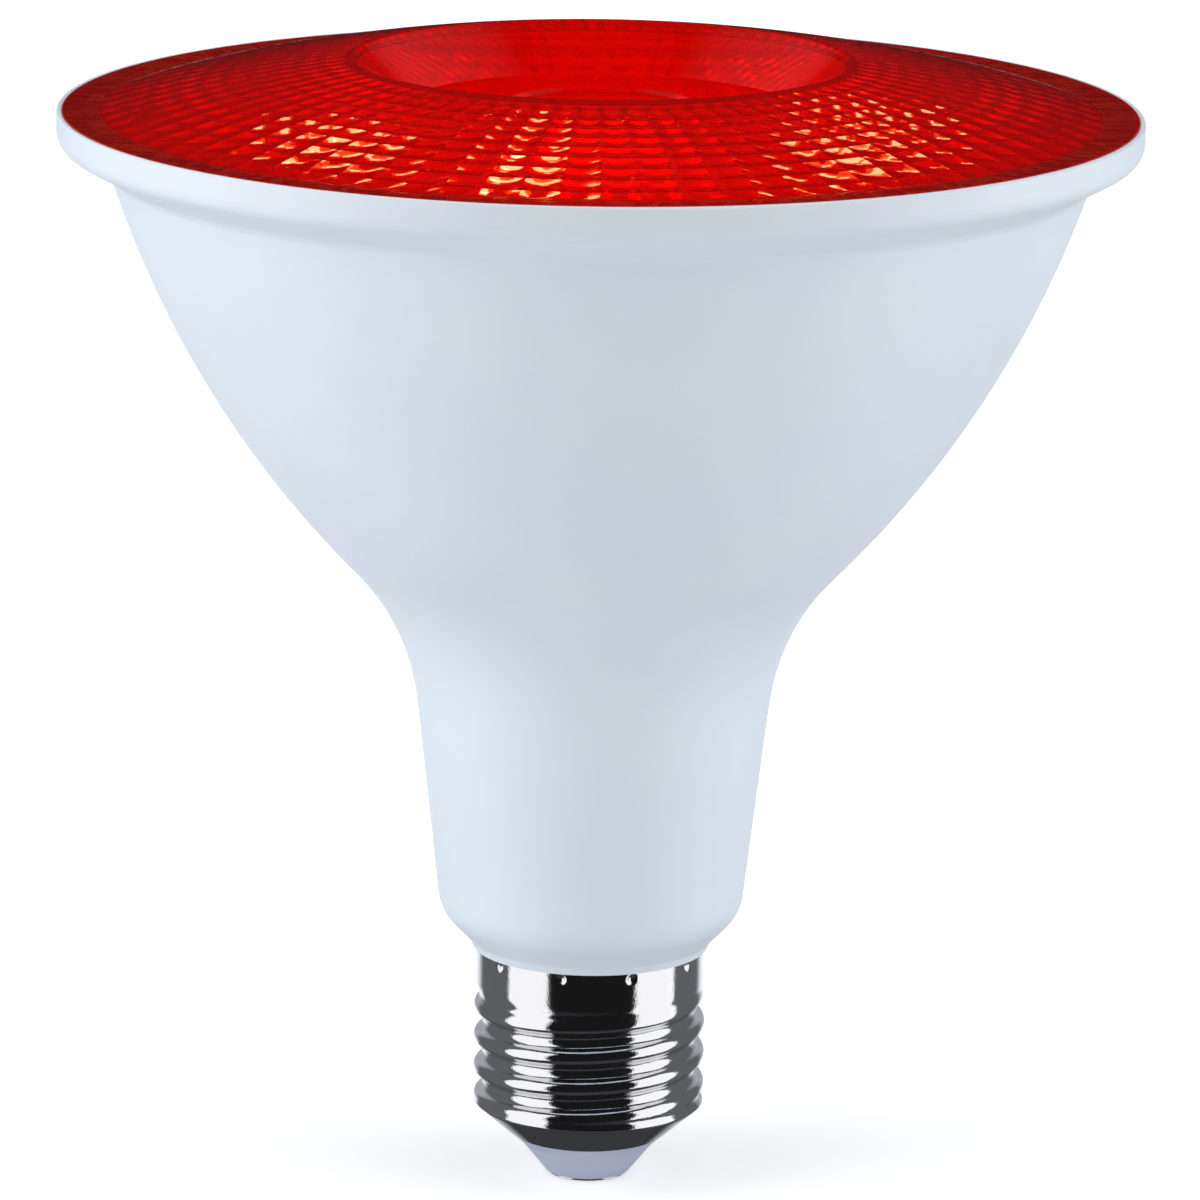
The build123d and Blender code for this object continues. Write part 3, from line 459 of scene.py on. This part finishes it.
# %% [markdown]
# ## Lens
# The lens is one moulding: smooth outside, with a flat edge, a shallow dome and a crater in the
# middle, and eighty sectors of ten pillow facets inside. In its tree, a facet row flattens the turn
# into straight sides between the spokes of the sectors, and swells down between them.

# %% Lens tree
SPOKE_REACH = 0.01


def lens_tree():
    numbers = {"Sectors": "NodeSocketInt", "Cuts": "NodeSocketInt"}
    tree, given = rolling_tree("faceted_lens", numbers)
    sectors = given["Sectors"]
    columns = calc(tree, "MULTIPLY", sectors, given["Cuts"])
    grid, turn, mark = roll_grid(tree, given["Section"], columns)
    flat = mark("flat")

    sector_turn = calc(tree, "MULTIPLY", turn, sectors)
    across = calc(tree, "FRACT", sector_turn)
    crown = calc(tree, "MULTIPLY", across, calc(tree, "SUBTRACT", 1.0, across))
    drop = calc(tree, "MULTIPLY", calc(tree, "MULTIPLY", crown, 4.0), mark("swell"))
    height = calc(tree, "SUBTRACT", mark("height"), drop)

    half_sector = calc(tree, "DIVIDE", math.pi, sectors)
    sector = calc(tree, "MULTIPLY", half_sector, 2.0)
    from_middle = calc(tree, "MULTIPLY", calc(tree, "SUBTRACT", across, 0.5), sector)
    chord = calc(tree, "DIVIDE", calc(tree, "COSINE", half_sector), calc(tree, "COSINE", from_middle))
    shrink = calc(tree, "MULTIPLY_ADD", calc(tree, "SUBTRACT", chord, 1.0), flat, 1.0)
    radius = calc(tree, "MULTIPLY", mark("radius"), shrink)

    off_spoke = calc(tree, "SUBTRACT", sector_turn, calc(tree, "ROUND", sector_turn))
    on_spoke = calc(tree, "LESS_THAN", calc(tree, "ABSOLUTE", off_spoke), SPOKE_REACH)
    creases = [calc(tree, "MULTIPLY", on_spoke, flat), mark("crease")]
    close_roll(tree, grid, turn, radius, height, creases, given["Material"])
    return tree


# %% [markdown]
# The section goes from the axis out over the crater and the dome, round the edge, and back in along
# the facets. Radii and heights are the moulding's own, and the rows in between follow its arcs.

# %% Lens sizes
lens_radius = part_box("front_lens")[1].x
LENS_EDGE = 2.0 * MM
LENS_WALL = 1.9 * MM
LENS_LAND = 4.0 * MM
DOME_RADIUS = 206.0 * MM
DOME_ROWS = 40
CRATER_RADIUS = 27.7 * MM
CRATER_FLOOR_RADIUS = 22.0 * MM
CRATER_FLOOR_RISE = 0.4 * MM
CRATER_LIP_ROUND = 0.5 * MM
CRATER_LIP_ROWS = 8
CRATER_WALL_ROWS = 6
CRATER_UNDER_ROWS = 3
CRATER_FLOOR_ROWS = 4
FLOOR_RING_RADIUS = 12.5 * MM
FLOOR_RING_WIDTH = 2.4 * MM
FLOOR_RING_RISE = 0.4 * MM
FACET_SECTORS = 80
FACET_RINGS = 10
FACET_CUTS = 6
FACET_INSET = 0.5 * MM
FACET_MARGIN = 0.3 * MM
FACET_GROWTH = 0.09
FACET_BULGE = 0.3 * MM

dome_edge = lens_radius - LENS_LAND
dome_centre = rim_top - math.sqrt(DOME_RADIUS**2 - dome_edge**2)
facet_in = CRATER_RADIUS + FACET_INSET
facet_out = dome_edge - FACET_MARGIN
crater_floor = rim_top + CRATER_FLOOR_RISE
print("dome from radius", round(CRATER_RADIUS / MM, 2), "to", round(dome_edge / MM, 2), "mm")

# %% Section helpers


def dome(radius):
    return Vector((radius, dome_centre + math.sqrt(DOME_RADIUS**2 - radius**2)))


def ring_radius(step):
    """Radius of a facet ring's edge: the rings widen a little towards the rim."""
    share = step / FACET_RINGS
    return facet_in + (facet_out - facet_in) * share * (1 - FACET_GROWTH + FACET_GROWTH * share)


def row(point, **marks):
    return {"radius": point[0], "height": point[1], **marks}


def along(start, end, count):
    """Points from start to end, without the start."""
    return [start.lerp(end, step / count) for step in range(1, count + 1)]


def corner_round(corner, before, after, radius, count):
    """Points of the round at a corner between two straight lines."""
    into = (corner - before).normalized()
    out = (after - corner).normalized()
    half = into.angle(out) / 2
    reach = radius * math.tan(half)
    centre = corner + (out - into).normalized() * (radius / math.cos(half))
    first = (corner - into * reach - centre).normalized()
    last = (corner + out * reach - centre).normalized()
    points = []
    for step in range(count + 1):
        share = step / count
        arm = first * math.sin((1 - share) * 2 * half) + last * math.sin(share * 2 * half)
        points.append(centre + arm.normalized() * radius)
    return points


def straight_rows(points, **marks):
    """Rows along straight runs, with a crease at the end of each."""
    rows = []
    for start, end in zip(points, points[1:]):
        middle, last = along(start, end, 2)
        rows += [row(middle, **marks), row(last, crease=1.0, **marks)]
    return rows


# %% Lens section
ring_in = FLOOR_RING_RADIUS - FLOOR_RING_WIDTH
ring_top = crater_floor + FLOOR_RING_RISE
crater_foot = Vector((CRATER_FLOOR_RADIUS, crater_floor))
crater_edge = dome(CRATER_RADIUS)


def outside_rows():
    """Crater floor with its raised ring, crater wall, dome, and the lens's flat edge."""
    floor = [
        Vector((0, crater_floor)),
        Vector((ring_in, crater_floor)),
        Vector((ring_in + FLOOR_RING_RISE, ring_top)),
        Vector((FLOOR_RING_RADIUS - FLOOR_RING_RISE, ring_top)),
        Vector((FLOOR_RING_RADIUS, crater_floor)),
        crater_foot,
    ]
    rows = [row(floor[0])] + straight_rows(floor)
    dome_start = dome(CRATER_RADIUS + CRATER_LIP_ROUND)
    lip = corner_round(crater_edge, crater_foot, dome_start, CRATER_LIP_ROUND, CRATER_LIP_ROWS)
    rows += [row(point) for point in along(crater_foot, lip[0], CRATER_WALL_ROWS) + lip[1:]]
    start = lip[-1].x
    for step in range(1, DOME_ROWS + 1):
        rows.append(row(dome(start + (dome_edge - start) * step / DOME_ROWS)))
    rows[-1]["crease"] = 1.0
    edge = [
        Vector((dome_edge, rim_top)),
        Vector((lens_radius, rim_top)),
        Vector((lens_radius, rim_top - LENS_EDGE)),
    ]
    return rows + straight_rows(edge)


def inside_rows():
    """Flat seat, rings of pillow facets, and the flat facets under the crater."""
    seat = [Vector((lens_radius, rim_top - LENS_EDGE)), Vector((facet_out, rim_top - LENS_EDGE))]
    rings = [dome(ring_radius(step)) - Vector((0, LENS_WALL)) for step in range(FACET_RINGS + 1)]
    rows = straight_rows(seat)
    rows[-1]["flat"] = 1.0
    rows += straight_rows([seat[-1], rings[-1]], flat=1.0)
    for outer, inner in zip(rings[:0:-1], rings[-2::-1]):
        for step, point in enumerate(along(outer, inner, FACET_CUTS), 1):
            share = step / FACET_CUTS
            swell = 4 * FACET_BULGE * share * (1 - share)
            rows.append(row(point, flat=1.0, swell=swell))
        rows[-1]["crease"] = 1.0
    wall = crater_edge - crater_foot
    under_radius = CRATER_FLOOR_RADIUS + LENS_WALL * math.tan(math.atan2(wall.y, wall.x) / 2)
    under_floor = Vector((under_radius, crater_floor - LENS_WALL))
    rows += straight_rows([rings[0]] + along(rings[0], under_floor, CRATER_UNDER_ROWS), flat=1.0)
    under_middle = Vector((0, under_floor.y))
    return rows + [row(point) for point in along(under_floor, under_middle, CRATER_FLOOR_ROWS)]


# %% [markdown]
# The lamps light the inside of the bulb through the lens. A path tracer can't aim light through a
# bent surface, so the lens casts no shadow: what is under it is lit as if the lens were a plain pane.

# %% Lens
lens_numbers = {"Sectors": FACET_SECTORS, "Cuts": FACET_CUTS}
lens = roll_section("lens", outside_rows() + inside_rows(), lens_tree(), lens_numbers, red_lens)
lens.visible_shadow = False
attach(lens, "root")
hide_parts("front_lens")

# %% [markdown]
# ## Screw shell
# The shell is one thin pressing: a cone at the mouth, the rolled thread, and a collar that is staked
# to the neck with ten small dents. The solid has all of it, but the strips of light on bright nickel
# need a finer mesh. The thread's section is two equal arcs, a valley and a crest, and its tree finds
# how far each point is from the nearest valley. A stake is a small ball pressed into the collar.

# %% Shell tree


def shell_tree():
    numbers = {
        "Columns": "NodeSocketInt",
        "Pitch": "NodeSocketFloat",
        "Depth": "NodeSocketFloat",
        "Round": "NodeSocketFloat",
        "Stakes": "NodeSocketInt",
        "Stake Turn": "NodeSocketFloat",
        "Stake Centre": "NodeSocketFloat",
    }
    tree, given = rolling_tree("rolled_shell", numbers)
    grid, turn, mark = roll_grid(tree, given["Section"], given["Columns"])
    pitch = given["Pitch"]
    curve = given["Round"]

    def off_circle(reach):
        """Height of a circle's quarter at a distance from its middle."""
        square = calc(tree, "MULTIPLY", curve, curve)
        return calc(tree, "SQRT", calc(tree, "SUBTRACT", square, calc(tree, "MULTIPLY", reach, reach)))

    turns = calc(tree, "SUBTRACT", mark("turns"), turn)
    off_valley = calc(tree, "ABSOLUTE", calc(tree, "SUBTRACT", turns, calc(tree, "ROUND", turns)))
    from_valley = calc(tree, "MULTIPLY", off_valley, pitch)
    from_crest = calc(tree, "SUBTRACT", calc(tree, "DIVIDE", pitch, 2.0), from_valley)
    valley = calc(tree, "SUBTRACT", curve, off_circle(from_valley))
    crest = calc(tree, "ADD", calc(tree, "SUBTRACT", given["Depth"], curve), off_circle(from_crest))
    on_crest = calc(tree, "GREATER_THAN", off_valley, 0.25)
    rise = calc(tree, "MULTIPLY_ADD", calc(tree, "SUBTRACT", crest, valley), on_crest, valley)
    radius = calc(tree, "MULTIPLY_ADD", rise, mark("thread"), mark("radius"))

    stakes = given["Stakes"]
    centre = given["Stake Centre"]
    stake_turn = calc(tree, "MULTIPLY", calc(tree, "SUBTRACT", turn, given["Stake Turn"]), stakes)
    off_stake = calc(tree, "SUBTRACT", stake_turn, calc(tree, "ROUND", stake_turn))
    off_angle = calc(tree, "DIVIDE", calc(tree, "MULTIPLY", off_stake, 2 * math.pi), stakes)
    aside = calc(tree, "MULTIPLY", centre, calc(tree, "SINE", off_angle))
    room = calc(tree, "SUBTRACT", mark("stake"), calc(tree, "MULTIPLY", aside, aside))
    middle = calc(tree, "MULTIPLY", centre, calc(tree, "COSINE", off_angle))
    ball = calc(tree, "SUBTRACT", middle, calc(tree, "SQRT", room))
    dent = calc(tree, "SUBTRACT", calc(tree, "MINIMUM", radius, ball), radius)
    radius = calc(tree, "MULTIPLY_ADD", dent, calc(tree, "GREATER_THAN", room, 0.0), radius)
    close_roll(tree, grid, turn, radius, mark("height"), [mark("crease")], given["Material"])
    return tree


# %% [markdown]
# The rows go up the outside, over the top edge, and down the inside, one wall thickness in. Each
# zone has its count of rows outside and inside. The thread fades out of the cone at its foot and
# into the collar at its top, where it runs out over a whole turn, a little longer than on the solid.

# %% Shell sizes
mouth_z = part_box("screw_shell")[0].z
shell_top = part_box("screw_shell")[1].z
MOUTH_RADIUS = 9.0 * MM
CONE_HEIGHT = 3.63 * MM
CONE_RADIUS = 13.1 * MM
SHELL_WALL = 0.45 * MM
THREAD_RADIUS = 13.175 * MM
THREAD_DEPTH = 1.1 * MM
THREAD_PITCH = 3.629 * MM
THREAD_HEIGHT = 14.37 * MM
THREAD_TURN = 32.3 / 360
COLLAR_RADIUS = 12.925 * MM
STAKE_COUNT = 10
STAKE_RADIUS = 0.65 * MM
STAKE_DEPTH = 0.3 * MM
STAKE_DROP = 0.65 * MM
STAKE_TURN = (21.5 - 90) / 360
SHELL_COLUMNS = 480
CONE_ROWS = (8, 2)
THREAD_ROWS = (98, 38)
COLLAR_ROWS = (26, 2)

FOOT_RUN_OUT = THREAD_PITCH / 2
TOP_RUN_OUT = THREAD_PITCH

root_radius = THREAD_RADIUS - THREAD_DEPTH
thread_z = mouth_z + CONE_HEIGHT
collar_z = thread_z + THREAD_HEIGHT
flank_lean = 2 * math.atan(2 * THREAD_DEPTH / THREAD_PITCH)
thread_round = THREAD_PITCH / (4 * math.sin(flank_lean))
print("thread arcs of", round(thread_round / MM, 3), "mm, flanks at", round(math.degrees(flank_lean), 1))

# %% Shell section


def fade_in(distance, run_out):
    """Share of the thread so far from one of its ends, where it runs out."""
    share = min(distance / run_out, 1.0)
    return share * share * (3 - 2 * share)


def shell_row(height, depth):
    """Marks of the shell at a height, so deep under the outside."""
    if height <= thread_z:
        share = (height - mouth_z) / CONE_HEIGHT
        return row((MOUTH_RADIUS + (CONE_RADIUS - MOUTH_RADIUS) * share - depth, height))
    if height >= collar_z:
        drop = shell_top - STAKE_DROP - height
        stake = max(STAKE_RADIUS**2 - drop**2, 0.0) if depth == 0 else 0.0
        return row((COLLAR_RADIUS - depth, height), stake=stake)
    foot = fade_in(height - thread_z, FOOT_RUN_OUT)
    top = fade_in(collar_z - height, TOP_RUN_OUT)
    radius = CONE_RADIUS + (root_radius - CONE_RADIUS) * foot
    radius = COLLAR_RADIUS + (radius - COLLAR_RADIUS) * top
    turns = (height - thread_z) / THREAD_PITCH - THREAD_TURN
    return row((radius - depth, height), thread=foot * top, turns=turns)


def shell_section():
    zones = [
        (mouth_z, thread_z, *CONE_ROWS),
        (thread_z, collar_z, *THREAD_ROWS),
        (collar_z, shell_top, *COLLAR_ROWS),
    ]
    outside = [shell_row(mouth_z, 0)]
    for low, high, fine, _ in zones:
        outside += [shell_row(low + (high - low) * step / fine, 0) for step in range(1, fine + 1)]
    inside = [shell_row(shell_top, SHELL_WALL)]
    for low, high, _, coarse in reversed(zones):
        steps = range(1, coarse + 1)
        inside += [shell_row(high + (low - high) * step / coarse, SHELL_WALL) for step in steps]
    for end in (outside[0], outside[-1], inside[0], inside[-1]):
        end["crease"] = 1.0
    return outside + inside + [outside[0]]


shell_numbers = {
    "Columns": SHELL_COLUMNS,
    "Pitch": THREAD_PITCH,
    "Depth": THREAD_DEPTH,
    "Round": thread_round,
    "Stakes": STAKE_COUNT,
    "Stake Turn": STAKE_TURN,
    "Stake Centre": COLLAR_RADIUS + STAKE_RADIUS - STAKE_DEPTH,
}
shell = roll_section("shell", shell_section(), shell_tree(), shell_numbers, nickel)
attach(shell, "root")
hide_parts("screw_shell")

# %% [markdown]
# ## Studio
# Two tall softboxes stand left and right of the camera: they show as two bright strips in the cap.
# Two wash lamps further round light the housing's sides, so that its middle is a little darker, and a
# lamp from above lights the rim and the inside of the bulb. Of these, only the softboxes show in the
# metal.

# %% Lamps
SOFTBOX_SIZE = (0.48, 1.1)
SOFTBOX_REACH = 0.55
SOFTBOX_TURN = {"left": 66, "right": 71}
SOFTBOX_GLOW = 1.3
WASH_TURN = {"left": 78, "right": 88}
WASH_GLOW = {"left": 1.4, "right": 0.95}
LAMP_HEIGHT = 0.1
TOP_SIZE = 0.5
TOP_HEIGHT = 0.9
TOP_SHIFT = 0.001
TOP_GLOW = 2.0


def softbox(name, eye, target, width, height, glow):
    """Rectangular lamp of an even brightness, whatever its size."""
    lamp = bpy.data.lights.new(name, "AREA")
    lamp.shape = "RECTANGLE"
    lamp.size = width
    lamp.size_y = height
    lamp.energy = glow * math.pi * width * height
    made = bpy.data.objects.new(name, lamp)
    bpy.context.scene.collection.objects.link(made)
    made.matrix_world = aim(eye, target)
    return made


def beside(turn):
    """Place at the lamps' height, turned from the camera's side by so many degrees."""
    angle = math.radians(turn)
    return lamp_middle + Vector((math.sin(angle), -math.cos(angle), 0)) * SOFTBOX_REACH


lamp_middle = Vector((0, 0, LAMP_HEIGHT))
for name, side in (("left", -1), ("right", 1)):
    strip_place = beside(side * SOFTBOX_TURN[name])
    softbox(f"{name}_softbox", strip_place, lamp_middle, *SOFTBOX_SIZE, SOFTBOX_GLOW)
    wash_place = beside(side * WASH_TURN[name])
    wash = softbox(f"{name}_wash", wash_place, lamp_middle, *SOFTBOX_SIZE, WASH_GLOW[name])
    wash.visible_glossy = False
above = Vector((0, TOP_SHIFT, TOP_HEIGHT))
top = softbox("top_softbox", above, Vector((0, 0, 0)), TOP_SIZE, TOP_SIZE, TOP_GLOW)
top.visible_glossy = False
print("lamps", [lamp.name for lamp in bpy.data.lights])

# %% [markdown]
# The edges of the cap are pale, because they mirror the paper behind the bulb. A low card stands for
# it: it shows only in reflections, and ends under the rim, so that the lens doesn't mirror it. Three
# widths, close behind each other and each with a third of the light, soften its edge.

# %% Backdrop card
CARD_WIDTHS = (0.14, 0.17, 0.2)
CARD_HEIGHT = 0.135
CARD_BACK = 0.1
CARD_STEP = 0.002
CARD_MIDDLE = 0.0375
CARD_GLOW = 0.16
CARD_TINT = (0.9, 0.92, 1.0)

for step, width in enumerate(CARD_WIDTHS):
    card_place = Vector((0, CARD_BACK + step * CARD_STEP, CARD_MIDDLE))
    card = softbox("back_card", card_place, Vector((0, 0, CARD_MIDDLE)), width, CARD_HEIGHT, CARD_GLOW)
    card.data.color = CARD_TINT
    card.visible_camera = False
    card.visible_diffuse = False
    card.visible_transmission = False
print("card up to", round((CARD_MIDDLE + CARD_HEIGHT / 2) / MM, 1), "mm, under the rim")

# %% [markdown]
# The facets glitter where bright spots of the mirror bowl stand under them. The path tracer hardly
# finds those spots, so small lamps in the bowl stand for them. They show only through the lens and
# light nothing, and each facet in front of them makes its own small image. Their colour is what the
# eye sees, divided by what the dye lets through. A wider red one behind each makes its soft edge.

# %% Glints
GLINT_AIM = Vector((0, -0.03, 0.02))
GLINT_PLACES = {
    "left": [(-33, -3), (-28, -7), (-24, -12), (-30, -11)],
    "middle": [(-10, -23), (-8, -22), (-5, -21), (-7, -6)],
    "right": [(24, -10), (28, -14), (30, -6), (34, 4), (26, 4)],
}
GLINT_CORE = {"drop": 11.0 * MM, "size": 3.0 * MM, "seen": (1.4, 1.0, 0.45)}
GLINT_HALO = {"drop": 11.8 * MM, "size": 5.0 * MM, "seen": (0.8, 0.09, 0.012)}


def glint(x, y, drop, size, seen):
    """Small square lamp in the bowl, at a place in millimetres, of the colour seen through the lens."""
    place = Vector((x * MM, y * MM, rim_top - drop))
    lamp = softbox("glint", place, place + GLINT_AIM, size, size, 1.0)
    lamp.data.color = [share / dye for share, dye in zip(seen, LENS_RED)]
    lamp.visible_camera = False
    lamp.visible_diffuse = False
    lamp.visible_glossy = False


for side, places in GLINT_PLACES.items():
    for x, y in places:
        glint(x, y, **GLINT_HALO)
        glint(x, y, **GLINT_CORE)
    print(side, "glints", len(places))

# %% [markdown]
# The world is white to the camera. In the metal it is what a studio shows there: a dim room behind
# the camera, grey walls at the sides, and a pale table top behind the bulb. Their edges are given as
# the X, Y or Z of a direction, from where each starts to where it is full.

# %% World
ROOM_GLOW = 0.37
ROOM_THROUGH = 1.0
ROOM_DIM = 0.011
ROOM_WALL = 0.16
ROOM_BACK = 0.6
ROOM_TABLE = 0.055
ROOM_TINT = (0.92, 0.94, 1.0)
WALL_SIDES = (0.35, 0.55)
WALL_FRONT = (-0.1, 0.1)
BACK_EDGE = (0.74, 0.88)
BACK_TOP = (-0.19, -0.25)
TABLE_EDGE = (-0.5, -0.7)


def studio_world():
    world = bpy.data.worlds.new("studio")
    world.use_nodes = True
    bpy.context.scene.world = world
    tree = world.node_tree
    background = tree.nodes["Background"]
    way = add_node(tree, "ShaderNodeTexCoord").outputs["Generated"]
    way = add_node(tree, "ShaderNodeSeparateXYZ", {0: way}).outputs
    beside_bulb = ramp(tree, calc(tree, "ABSOLUTE", way["X"]), *WALL_SIDES, 0.0, ROOM_WALL)
    walls = calc(tree, "MULTIPLY", beside_bulb, ramp(tree, way["Y"], *WALL_FRONT, 0.0, 1.0))
    behind_bulb = ramp(tree, way["Y"], *BACK_EDGE, 0.0, ROOM_BACK)
    back = calc(tree, "MULTIPLY", behind_bulb, ramp(tree, way["Z"], *BACK_TOP, 0.0, 1.0))
    table = ramp(tree, way["Z"], *TABLE_EDGE, 0.0, ROOM_TABLE)
    around = calc(tree, "MAXIMUM", walls, back)
    mirrored = calc(tree, "MAXIMUM", calc(tree, "MAXIMUM", around, table), ROOM_DIM)
    path = add_node(tree, "ShaderNodeLightPath").outputs

    def choose(ray, other, value):
        mix = add_node(tree, "ShaderNodeMix", {0: path[ray], 2: other, 3: value}, data_type="FLOAT")
        return mix.outputs[0]

    glow = choose("Is Glossy Ray", ROOM_GLOW, mirrored)
    glow = choose("Is Transmission Ray", glow, ROOM_THROUGH)
    glow = choose("Is Camera Ray", glow, 1.0)
    tint = add_node(tree, "ShaderNodeMix", {0: path["Is Glossy Ray"]}, data_type="RGBA")
    tint.inputs[6].default_value = (1, 1, 1, 1)
    tint.inputs[7].default_value = (*ROOM_TINT, 1)
    tree.links.new(tint.outputs[2], background.inputs["Color"])
    tree.links.new(glow, background.inputs["Strength"])


studio_world()
print("world", bpy.context.scene.world.name)

# %% [markdown]
# The floor is a plain pale sheet under the bulb. Its own light for the camera makes it as white as the
# backdrop. That light is weaker near the bulb, so that the bulb's soft shadow stays on the floor.

# %% Floor
FLOOR_SIZE = 6.0
FLOOR_COLOUR = (0.85, 0.85, 0.85)
FLOOR_ROUGHNESS = 0.9
FLOOR_GLOW_NEAR = 0.42
FLOOR_GLOW_FAR = 0.78
FLOOR_NEAR = 0.05
FLOOR_FAR = 0.35


def pale_floor():
    mesh = bpy.data.meshes.new("floor")
    half = FLOOR_SIZE / 2
    level = cad_low.z
    corners = [(-half, -half, level), (half, -half, level), (half, half, level), (-half, half, level)]
    mesh.from_pydata(corners, [], [(0, 1, 2, 3)])
    floor = bpy.data.objects.new("floor", mesh)
    bpy.context.scene.collection.objects.link(floor)
    material, tree, shader = new_finish("floor_paint", FLOOR_COLOUR, FLOOR_ROUGHNESS)
    seen = add_node(tree, "ShaderNodeLightPath").outputs["Is Camera Ray"]
    place = add_node(tree, "ShaderNodeTexCoord").outputs["Object"]
    away = add_node(tree, "ShaderNodeVectorMath", {0: place}, operation="LENGTH").outputs["Value"]
    glow = ramp(tree, away, FLOOR_NEAR, FLOOR_FAR, FLOOR_GLOW_NEAR, FLOOR_GLOW_FAR)
    tree.links.new(calc(tree, "MULTIPLY", seen, glow), shader.inputs["Emission Strength"])
    shader.inputs["Emission Color"].default_value = (1, 1, 1, 1)
    mesh.materials.append(material)
    floor.visible_glossy = False
    floor.visible_shadow = False


pale_floor()

# %% [markdown]
# ## Finish
# The visual model has to stay in the CAD model's box.

# %% Finish
bpy.context.scene.view_settings.view_transform = "Standard"
